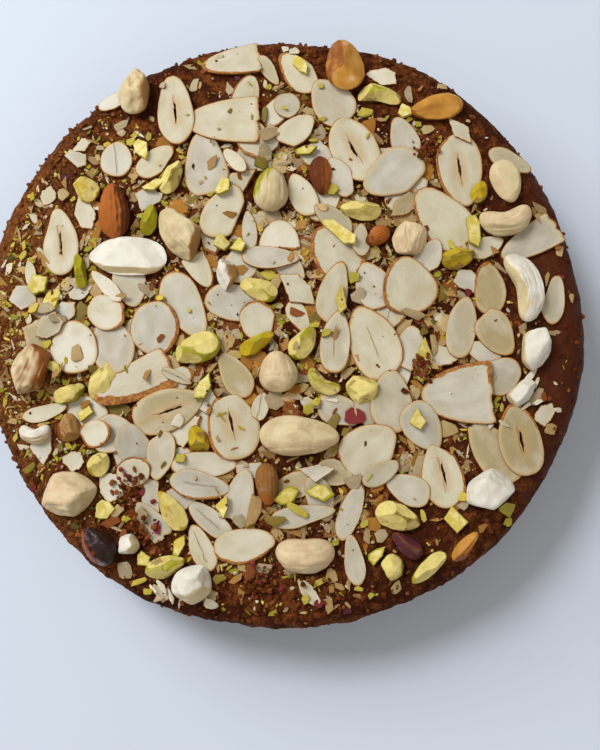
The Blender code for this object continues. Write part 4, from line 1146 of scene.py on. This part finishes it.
def lowestRows(draw):  # slices whose middles lie in the gaps between those above
    rows = []
    while len(rows) < slices["lowest"]:
        x, y = draw.uniform(-80, 80), draw.uniform(-80, 80)
        near = any(math.hypot(x - row[0], y - row[1]) < slices["lowestApart"] for row in rows)
        if near or draw.random() > cover(x, y) ** 3 or any(liesOn(row, x, y) for row in almonds):
            continue
        length = draw.uniform(11, 18)
        form = draw.choice(("whole", "whole", "round", "ragged"))
        look = draw.choice(("grey", "grey", "cream", "cream east", "tan", "cream south"))
        rows.append((x, y, length, length * draw.uniform(0.5, 0.75), draw.uniform(0, 360), form, look))
    return rows


def buildSlices():
    draw = random.Random(11)
    closedBlank = sliceBlank(False)
    openBlank = sliceBlank(True)

    def settleAlmond(row):
        blank = openBlank if row[5] == "slit" else closedBlank
        shaped = buildSlice(row, row[5], slices["thickness"], blank, draw)
        if shaped is None:
            return None
        places, own, spread, directions = shaped
        return blank, places, own, sliceLook(row[6], spread, directions, draw)

    blanks, copies, own, look = layAll((*lowestRows(draw), *almonds), settleAlmond)
    piece = joinCopies("almondSlices", blanks, copies, slices["smooth"], own=own, look=look)
    finishAlmonds(piece, "almondFinishSliced")
    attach(piece, "root")
    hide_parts("cake_body")

    def settleChip(row):
        shaped = buildSlice(row, "chip", slices["chipThickness"], closedBlank, draw)
        if shaped is None:
            return None
        places, _, spread, _ = shaped
        low = closedBlank["places"][:, 2] < 0
        green = np.full(len(spread), draw.uniform(0, 0.45))
        purple = np.full(len(spread), draw.choice((0.0, 0.0, 0.0, 0.35)))
        look = [green, purple, np.maximum(spread, low), np.ones_like(spread)]
        return closedBlank, places, np.column_stack(look)

    blanks, copies, look = layAll(pistachioChips, settleChip)
    piece = joinCopies("pistachioChips", blanks, copies, slices["smooth"], look=look)
    finishChips(piece, "pistachioChipFinish")
    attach(piece, "root")
    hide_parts("cake_body")


buildSlices()

# Small things, which have no solids: shreds, chips, petals and crumbs

# Inside colour, rim colour, thickness in mm, and the group it is joined to
smallKinds = {
    "pale": ("b0a488", "937342", 0.7, "almondShreds"),
    # The golden rim of the cream shreds is partly their skin, partly painted warm shade in the gaps
    "cream": ("c0ac7a", "996a29", 0.8, "almondShreds"),
    "white": ("d8d1c0", "bfb08c", 0.8, "almondShreds"),
    "green": ("c8b24c", "87800e", 1.2, "pistachioBits"),
    "yellow": ("ceb752", "ad931c", 1.1, "pistachioBits"),
    "leaf": ("9e9415", "776e0c", 1.0, "pistachioBits"),
    "olive": ("877123", "5a4b12", 0.9, "pistachioBits"),
    "petal": ("7e2b28", "6a1f26", 0.45, "rosePetals"),
    "plum": ("5d2830", "411920", 0.45, "rosePetals"),
    "skin": ("8c4d20", "64300f", 0.6, "skinChips"),
    "gold": ("ad7a30", "834b14", 0.8, "skinChips"),
    "cake": ("663313", "3c1a08", 1.0, "crustCrumbs"),
    "dust": ("85502a", "54290f", 0.8, "crustCrumbs"),
}
# Slot of each group, and its roughness, glow and shine
groups = {"almondShreds": ("almond", 0.5, 0.12, 0.3), "pistachioBits": ("pistachio", 0.5, 0.12, 0.25),
          "rosePetals": ("almond_skin", 0.6, 0.05, 0.2), "skinChips": ("almond_skin", 0.6, 0.04, 0.15),
          "crustCrumbs": ("crust", 0.8, 0.0, 0.05)}
# Those that show from a step away: x, y, length, width, turn
smallThings = {
    "pale": ((-65.5, 68.3, 5, 1, 20), (-54, 66.3, 4, 3, 0), (-29, 82, 8, 3, 80), (-39.5, 82, 4, 3, 0),
             (-3, 64, 8, 6, 30), (-4, 57, 7, 5, 100), (-60.5, 61, 4, 2, 0), (26, 7, 8.5, 6, 20),
             (44, 0.8, 10, 4.5, 0), (8, -19, 12, 6, 10), (6.5, -25.5, 9.5, 4.5, 330), (-0.5, -27, 10, 8, 60),
             (83, -26.5, 9, 7, 70), (-49.5, -81.3, 9, 6, 20), (-5, -80.5, 8, 4, 0), (-22, -90.5, 9, 6, 10),
             (-38.5, -90, 6, 2.5, 30), (-13, -65.7, 8, 6.5, 0), (60.5, -59.5, 7, 4, 40),
             (33.5, -70.3, 7, 5, 90), (24.5, -53.3, 8.5, 5.5, 10), (-68, 14, 7, 5, 0), (-77, 5, 9, 5, 20),
             (-72, 1, 8, 5, 330), (43.8, 77.3, 10, 3, 95), (-44, 11, 7, 3, 320), (-45, -63.5, 9, 6, 0),
             (-2.5, 37, 10, 3.5, 140)),
    "cream": ((-55, 83, 4, 3, 60), (-61.5, 57.5, 3, 2, 90), (55, 80.5, 5, 2.5, 0), (-83, 37, 8, 1.2, 325),
              (-88, 33, 6, 1.5, 50), (-7.3, -61.5, 13.5, 5, 75), (-52, -62, 6.5, 4, 30),
              (-52, -68, 8, 1.5, 340), (17.3, -83, 6, 4.5, 60), (37.8, -86, 6.5, 3.5, 80),
              (8.5, -94.5, 4, 1.2, 0), (15, 37.5, 4, 3.5, 0), (96, 7, 3.5, 2, 90), (88, -36, 6.5, 5, 60),
              (-66.3, -10.5, 7.5, 4.5, 95), (-87, 2, 6, 2, 80), (50, 65, 6, 5, 30), (-73, 45, 7, 5, 110),
              (51, -9, 9, 3, 100), (92.5, 23, 5, 4.5, 0)),
    "white": ((17.5, -26.5, 7, 1.5, 350), (5, 93.5, 5, 4, 0), (2, 95, 3, 3, 0), (68.5, -35.5, 3, 2, 0),
              (-32, -33, 7, 4, 60), (90.5, -30, 4, 3, 0), (-84, -41, 5, 2.5, 340), (-4, -17, 6, 4, 110),
              (-37.5, -86, 8, 2.4, 300), (-34.5, -88.5, 7, 1.6, 285), (-40, -87, 5, 1.4, 320),
              (-31.5, -91, 6, 1.5, 265), (-21.5, -92, 7, 3.5, 330), (82, -18.5, 8, 3, 60),
              (84, -21, 6, 1.5, 75), (80, -29, 6, 1.5, 40), (84.5, -27.5, 5, 2, 20), (-73, 10, 7, 1.5, 300)),
    "green": ((-50, 62.5, 4, 4, 0), (-3.5, 81, 3, 2.5, 0), (14.5, 80.5, 3, 2, 0), (12, 61.5, 4, 2.5, 0),
              (29.3, 71.2, 6, 4.5, 0), (18.3, 43.6, 6.5, 4, 70), (25.2, 13.4, 5.5, 4, 0),
              (-3, 15.6, 7, 4.2, 0), (-29, 3.5, 2, 2, 0), (-76.5, -7, 5, 4, 30), (-31, -45.5, 5.5, 4.5, 0),
              (16, -4.7, 4, 3.8, 0), (10, -29.8, 5, 4, 0), (12.5, -27.5, 4.5, 4, 0),
              (-45, -84.8, 6.5, 2.8, 20), (-42, -88, 4.5, 2.5, 0), (6.8, -62.3, 9, 3.6, 325),
              (13.5, -85, 7, 3, 30), (9, -90, 4, 3, 90), (73.5, -62, 6.5, 5.5, 60),
              (26, -87, 3.5, 2.5, 0), (30, -89, 3, 2, 40), (74, -66, 4, 3, 0), (-90, 27, 5, 2, 70)),
    "yellow": ((46.5, -64, 7, 5, 60), (-39, 8, 4, 2.5, 0), (15, 68.5, 4, 1.5, 0), (-86, 24, 5, 3, 40),
               (60, -58, 5, 4, 0), (-84, 45, 4, 2, 0), (-81, 5, 6, 3, 50), (30, 62.5, 4, 1.5, 70)),
    "olive": ((-4.5, 71, 8, 3, 90), (-5.5, 53.5, 5, 4, 0), (-60, -15.5, 6.5, 4, 0), (48, -4, 5, 4, 0),
              (-82, -48, 7, 3.5, 30), (-18.5, -83.5, 7, 4, 0), (-0.5, -65.5, 9.5, 5.5, 20),
              (18, -34, 8, 7, 30), (22, -37, 4, 3, 0)),
    "petal": ((25.5, -32, 10, 7, 15), (92.5, 13.5, 4, 3, 0), (62.5, 8.5, 5, 4, 0), (-39, -67.5, 5, 3, 90),
              (-81, -54, 3, 3, 0), (13, -91.5, 4, 3, 0), (49, 30, 3, 2, 0), (-44, -56, 4, 2, 60)),
    "plum": ((-72.5, 51, 5, 3, 0), (22, -94, 4, 3, 0), (-93, 20, 4, 3, 90),
             (-14, 84, 3, 2, 0)),
    "cake": ((69.5, 37.3, 4, 1.0, 325), (73, 41.5, 4, 0.9, 320)),
    "skin": ((6, 2.5, 7, 3.5, 330), (-16, -2, 6, 3, 10), (-54, -65.5, 8, 3, 20), (-50, -69, 5, 3, 60),
             (-9, -81.5, 7, 5, 80), (-42, 12, 3, 2, 90), (86, -26, 4, 2, 90), (-47.5, -29, 5, 2, 30)),
    "gold": ((-63, -27.5, 5, 3, 30), (92, 24, 4, 3, 0), (-22, -30, 4, 2, 70)),
}
# Scattered by chance in the gaps: how many flakes and crumbs, their lengths in mm, how much more on the left
scattered = {
    "pale": (230, 80, 2.0, 7.5, 0.5), "cream": (300, 240, 1.6, 7.0, 1.0), "white": (130, 120, 1.2, 5.5, 0.8),
    "green": (170, 90, 1.4, 4.6, 2.0), "yellow": (160, 130, 1.4, 4.2, 2.4), "leaf": (60, 70, 1.2, 3.6, 2.0),
    "olive": (90, 40, 1.4, 4.4, 1.4), "petal": (26, 14, 1.2, 3.6, 2.0), "plum": (34, 60, 0.8, 2.6, 3.0),
    "skin": (150, 80, 1.4, 5.0, 1.4), "gold": (80, 60, 1.2, 3.6, 2.0),
    "cake": (140, 900, 1.0, 3.4, 0.6), "dust": (160, 700, 0.9, 2.8, 3.5),
}
# Their darker, warmer tones are partly painted shade in the gaps under the slices
tucked = {"pale": 14, "cream": 24, "gold": 22, "skin": 16, "olive": 10}  # broad pieces half under the slices
# Heaps of cake crumbs: x, y, half width
heaps = ((-48, -55, 6.0), (-43.5, -69, 5.5), (12, -81.5, 4.0), (-5, -85, 6.0), (50, 58, 4.0), (47, -17, 4.0))
small = {
    "smooth": 25,
    "within": 95,
    "chips": (0.66, 1.14, 0.11),  # nearest and farthest corner of an outline, and how torn it is
    "rest": (0.5, 0.75),  # steepest slope, and share of the ground it lies over
    "lean": 0.09,
    "scatteredLean": 0.24,
    "flakesOnTop": 0.012,  # how readily they lie on a slice
    "crumbsOnTop": 0.006,
    "gapDepth": 0.7 * mm,  # how high the crust may be covered in a gap
    "sunk": 0.15 * mm,
    "scatteredWidth": (0.16, 0.7),  # against its length
    "smallestCrumb": 0.4,
    "crumbSpan": 0.7,  # the largest crumb is longer by this share of the shortest flake
    "thickness": (0.7, 1.1),  # against that of its kind
    "narrow": (0.45, 5 * mm),  # a narrow flake is thinner: least share, and a width that adds all
    "edge": (0.12, 0.95),  # how far its edge drops, and where that starts
    "curl": (-0.5, 0.9),
    "fullCurl": 8 * mm,
    "light": (0.82, 1.12),
    "rim": (0.8, 0.15),  # where the rim colour starts, and how softly
    "rimShade": (0.35, 0.9),
    "shade": (0, 0.25),
    "crumbCorner": (0.7, 1.2),
    "crumbSides": ((0.7, 1.3), (0.6, 1.0), (0.5, 0.8)),
    "crumbLift": 0.3,
    "crumbShade": (0, 0.7),
    "crumbLight": (0.8, 1.15),
    "tuckedSize": (6.0, 12.0),
    "tuckedWidth": (0.45, 0.75),  # against its length
    "tuckedSunk": 0.1 * mm,
    "tuckedWithin": 74,
    "heapCrumbs": 60,
    "heapCrumbSize": (0.8, 2.3),
    "heapSpread": 0.5,
    "heapHeight": (-0.2, 1.0),
    "rimCrumbs": 1100,
    "rimCrumbSize": (0.5, 2.1),
    "rimInner": 0.84,
    "rimPower": 0.6,
    "rimSunk": 0.1 * mm,
    "bakedFrom": 45 * mm,  # baked smooth on the right, where fewer crumbs lie
    "bakedShare": 0.75,
    "crumblyFrom": -30 * mm,
}
smallPieces = {group: [] for group in groups}  # blank, places and paint of all that a group is joined from


def flakeBlank(sides, rings):
    bpy.ops.mesh.primitive_cylinder_add(vertices=sides, radius=1.0, depth=2.0)
    piece = bpy.context.object
    startEdit(piece)
    pickFaces(piece, facesUp)
    for ring in rings:
        bpy.ops.mesh.inset(thickness=ring)
    bpy.ops.mesh.select_all(action="SELECT")
    bpy.ops.mesh.quads_convert_to_tris()
    bpy.ops.object.mode_set(mode="OBJECT")
    return {**takeBlank(piece), "sides": sides}


def smallPaint(kind, share, light):  # between its inside and its rim colour
    inside, rim = (np.array(tint(code)) for code in smallKinds[kind][:2])
    return (inside + (rim - inside) * share) * light


def buildFlake(blank, kind, x, y, length, width, turn, draw, plane, lean):
    thick, group = smallKinds[kind][2:]
    unit = blank["places"]
    sides = blank["sides"]
    spread = np.minimum(np.hypot(unit[:, 0], unit[:, 1]), 1.0)
    names = np.round(np.arctan2(unit[:, 1], unit[:, 0]) * sides / (2 * math.pi)).astype(int) % sides
    flat = chipOutline(sides, draw, *small["chips"])[names] * spread[:, None] * np.array([length, width]) / 2
    least, full = small["narrow"]
    thickness = thick * draw.uniform(*small["thickness"]) * mm * min(1.0, least + width / full)
    drop, edgeFrom = small["edge"]
    z = np.where(unit[:, 2] > 0, thickness * (1 - drop * (spread > edgeFrom)), 0.0)
    curl = draw.uniform(*small["curl"]) * mm * min(1.0, length / small["fullCurl"]) * (lean > 0)
    z = z + curl * (flat[:, 0] / (length / 2)) ** 2
    level, slope = plane
    leanX, leanY = slope[0] + draw.gauss(0, lean), slope[1] + draw.gauss(0, lean)
    places = turned(np.column_stack([flat, z]), turn, x, y)
    places[:, 2] += level + leanX * (places[:, 0] - x) + leanY * (places[:, 1] - y)
    light = draw.uniform(*small["light"])
    start, soft = small["rim"]
    share = np.clip((spread - start) / soft, 0.0, 1.0) * draw.uniform(*small["rimShade"])
    paint = smallPaint(kind, np.clip(share + draw.uniform(*small["shade"]), 0.0, 1.0)[:, None], light)
    smallPieces[group].append((blank, places, paint))
    return thickness


def buildCrumb(blank, kind, x, y, size, draw, level):
    unit = blank["places"]
    reach = np.array([draw.uniform(*small["crumbCorner"]) for _ in unit])
    sizes = np.array([draw.uniform(*span) for span in small["crumbSides"]]) * size / 2
    places = turned(unit * reach[:, None] * sizes, draw.uniform(0, 6.28), x, y)
    places[:, 2] += level + small["crumbLift"] * size
    paint = smallPaint(kind, draw.uniform(*small["crumbShade"]), draw.uniform(*small["crumbLight"]))
    smallPieces[smallKinds[kind][3]].append((blank, places, np.tile(paint, (len(unit), 1))))


def crustSlope(x, y):
    step = 0.5 * mm
    ahead = (crustHeight(x + step, y) - crustHeight(x - step, y)) / (2 * step)
    aside = (crustHeight(x, y + step) - crustHeight(x, y - step)) / (2 * step)
    return float(ahead), float(aside)


def inGap(x, y):
    return layers.at(layers.height, x, y) - layers.at(layers.bare, x, y) < small["gapDepth"]


def pickPlace(draw, leftShare, onTop, within):  # a place by chance, mostly where the crust is bare
    while True:
        x, y = draw.uniform(-within, within), draw.uniform(-within, within)
        if math.hypot(x, y) > within or draw.random() > cover(x, y):
            continue
        leftward = min(max((-x - 30) / 40, 0.0), 1.0)
        if draw.random() > (1 + (leftShare - 1) * leftward) / max(leftShare, 1.0):
            continue
        x, y = x * mm, y * mm
        covered = layers.at(layers.taken, x, y) or layers.at(layers.strewn, x, y)
        if not covered and (inGap(x, y) or draw.random() < onTop):
            return x, y


# Their gold, skin and olive tones are partly painted shade in the gaps under the slices
def tuckFlakes(blank, draw):  # broad pieces half under the slices
    for kind, count in tucked.items():
        for _ in range(count):
            x, y = pickPlace(draw, 1.0, 0.0, small["tuckedWithin"])
            length = draw.uniform(*small["tuckedSize"]) * mm
            width = length * draw.uniform(*small["tuckedWidth"])
            plane = (float(layers.at(layers.bare, x, y)) - small["tuckedSunk"], crustSlope(x, y))
            buildFlake(blank, kind, x, y, length, width, draw.uniform(0, 6.28), draw, plane, 0.0)


def layFlakes(blank, draw):  # those with a place of their own
    for kind, rows in smallThings.items():
        for *row, turn in rows:
            x, y, length, width = (value * mm for value in row)
            turn = math.radians(turn)
            cells = layers.insideOval(x, y, max(length, 3 * mm), max(width, 3 * mm), turn) & ~layers.taken
            if cells.any():
                plane = layers.planeOn(cells, x, y, *small["rest"])
                thick = buildFlake(blank, kind, x, y, length, width, turn, draw, plane, small["lean"])
                layers.cover(cells, x, y, plane[0] + thick, plane[1])
                layers.strewn |= layers.insideOval(x, y, length, width, turn)


def scatter(flakeBlank, crumbBlank, draw):
    least = small["smallestCrumb"]
    for kind, (flakes, crumbs, short, long, leftShare) in scattered.items():
        for _ in range(flakes):
            x, y = pickPlace(draw, leftShare, small["flakesOnTop"], small["within"])
            length = draw.uniform(short, long) * mm
            width = length * draw.uniform(*small["scatteredWidth"])
            plane = (float(layers.at(layers.height, x, y)) - small["sunk"], crustSlope(x, y))
            turn = draw.uniform(0, 6.28)
            buildFlake(flakeBlank, kind, x, y, length, width, turn, draw, plane, small["scatteredLean"])
        for _ in range(crumbs):
            x, y = pickPlace(draw, leftShare, small["crumbsOnTop"], small["within"])
            size = draw.uniform(least, least + short * small["crumbSpan"]) * mm
            buildCrumb(crumbBlank, kind, x, y, size, draw, float(layers.at(layers.height, x, y)))


def heapUp(blank, draw):
    for middleX, middleY, reach in heaps:
        for _ in range(small["heapCrumbs"]):
            x, y = (draw.gauss(middle, reach * small["heapSpread"]) * mm for middle in (middleX, middleY))
            if layers.at(layers.taken, x, y):
                continue
            size = draw.uniform(*small["heapCrumbSize"]) * mm
            kind = draw.choice(("cake", "cake", "cake", "dust", "dust", "skin", "petal"))
            level = float(layers.at(layers.height, x, y)) + draw.uniform(*small["heapHeight"]) * mm
            buildCrumb(blank, kind, x, y, size, draw, level)


def strewRim(blank, draw):
    for _ in range(small["rimCrumbs"]):
        turn = draw.uniform(0, 2 * math.pi)
        share = draw.uniform(small["rimInner"], 1.0) ** small["rimPower"]
        reach = share * cake["radius"] * float(rimFactor(turn))
        x, y = reach * math.cos(turn), reach * math.sin(turn)
        size = draw.uniform(*small["rimCrumbSize"]) * mm
        if x > small["bakedFrom"] and draw.random() < small["bakedShare"]:
            continue
        kinds = ("dust", "dust", "cake") if x < small["crumblyFrom"] else ("cake", "cake", "cake", "dust")
        level = float(crustHeight(x, y)) - small["rimSunk"]
        buildCrumb(blank, draw.choice(kinds), x, y, size, draw, level)


def buildSmallThings():
    draw = random.Random(23)
    fineBlank = flakeBlank(14, (0.13,))
    plainBlank = flakeBlank(7, ())
    bpy.ops.mesh.primitive_ico_sphere_add(subdivisions=1, radius=1.0)
    crumbBlank = takeBlank(bpy.context.object)
    tuckFlakes(fineBlank, draw)
    layFlakes(fineBlank, draw)
    scatter(plainBlank, crumbBlank, draw)
    heapUp(crumbBlank, draw)
    strewRim(crumbBlank, draw)
    for group, parts in smallPieces.items():
        blanks, copies, paint = zip(*parts)
        piece = joinCopies(group, blanks, copies, small["smooth"], paint=paint)
        slot, *look = groups[group]
        finishSmall(piece, group + "Finish", *look)
        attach(piece, "root")


def finishSmall(piece, name, rough, glow, shine):
    finish = Finish(name)
    place = finish.place()
    paint = finish.mark("paint")
    cloud = finish.noise(place, 500.0, 3.0, 0.6)
    fine = finish.noise(place, 1900.0, 3.0, 0.6)
    light = finish.mix(1.0, paint, (1.55, 1.5, 1.4, 1.0), "MULTIPLY")
    dark = finish.mix(1.0, paint, tint("9a7a58"), "MULTIPLY")
    colour = finish.mix(finish.step(cloud, 0.5, 0.75) * 0.45, paint, light)
    colour = finish.mix(finish.step(fine, 0.55, 0.75) * 0.4, colour, dark)
    finish.done(piece, colour, rough + fine * 0.2, finish.bump(cloud * 0.6 + fine * 0.4, 0.3 * mm, 0.8),
                specular=shine, glow=glow, glowRadius=(1.0, 0.8, 0.5), glowScale=0.8 * mm)


buildSmallThings()

# Camera, light and floor

view = {
    "lens": 66.24,
    "sensor": 36.0,
    "distance": 450 * mm,
    "lean": math.radians(10),
    "side": math.radians(22),
    "aim": Vector((7.27 * mm, -18.08 * mm, 43 * mm)),
}


def buildCamera():
    camera = bpy.data.objects.new("camera", bpy.data.cameras.new("camera"))
    camera.data.lens = view["lens"]
    camera.data.sensor_width = view["sensor"]
    back = Vector((math.sin(view["side"]) * math.sin(view["lean"]),
                   -math.cos(view["side"]) * math.sin(view["lean"]), math.cos(view["lean"])))
    right = (-back).cross(Vector((0, 1, 0))).normalized()
    turn = Matrix((right, back.cross(right), back)).transposed()
    camera.matrix_world = Matrix.Translation(view["aim"] + back * view["distance"]) @ turn.to_4x4()
    bpy.context.scene.collection.objects.link(camera)
    bpy.context.scene.camera = camera


# Name, kind, place, power, colour and softness of each light
lights = (
    ("window", "SUN", (-1.1, 1.0, 2.3), 1.75, (0.95, 0.98, 1.0), {"angle": math.radians(18)}),
    ("fill", "SUN", (0.3, -0.7, 1.3), 0.42, (1.0, 0.98, 0.95), {"angle": math.radians(60)}),
    ("nearWindow", "AREA", (-0.35, 0.25, 0.4), 1.3, (0.95, 0.98, 1.0), {"size": 0.25}),
)
studio = {
    "roomColour": (1.0, 0.95, 0.88, 1.0),
    "roomLight": 0.39,
    "floorSize": 30.0,
    "floorDrop": 0.2 * mm,
    "floorColours": ("c6cedb", "cfd7e3"),
}


def buildLight(name, kind, place, power, colour, softness):
    lamp = bpy.data.lights.new(name, kind)
    for key, value in softness.items():
        setattr(lamp, key, value)
    lamp.energy = power
    lamp.color = colour
    light = bpy.data.objects.new(name, lamp)
    light.location = place
    light.rotation_euler = (-Vector(place)).to_track_quat("-Z", "Y").to_euler()
    bpy.context.scene.collection.objects.link(light)


def buildStudio():
    for light in lights:
        buildLight(*light)
    world = bpy.data.worlds.new("room")
    bpy.context.scene.world = world
    world.use_nodes = True
    room = world.node_tree.nodes["Background"]
    room.inputs["Color"].default_value = studio["roomColour"]
    room.inputs["Strength"].default_value = studio["roomLight"]
    bpy.context.scene.view_settings.view_transform = "Standard"
    bpy.ops.mesh.primitive_plane_add(size=studio["floorSize"], location=(0, 0, -studio["floorDrop"]))
    floor = bpy.context.object
    floor.name = "floor"
    finish = Finish("floorFinish")
    place = finish.place()
    soft = finish.noise(place, 6.0, 2.0)
    colour = finish.mix(soft * 0.5, *(tint(code) for code in studio["floorColours"]))
    grain = finish.bump(finish.noise(place, 900.0), 0.05 * mm, 0.2)
    finish.done(floor, colour, 0.85 + soft * 0.1, grain, specular=0.15)
    print("studio ready")


buildCamera()
buildStudio()
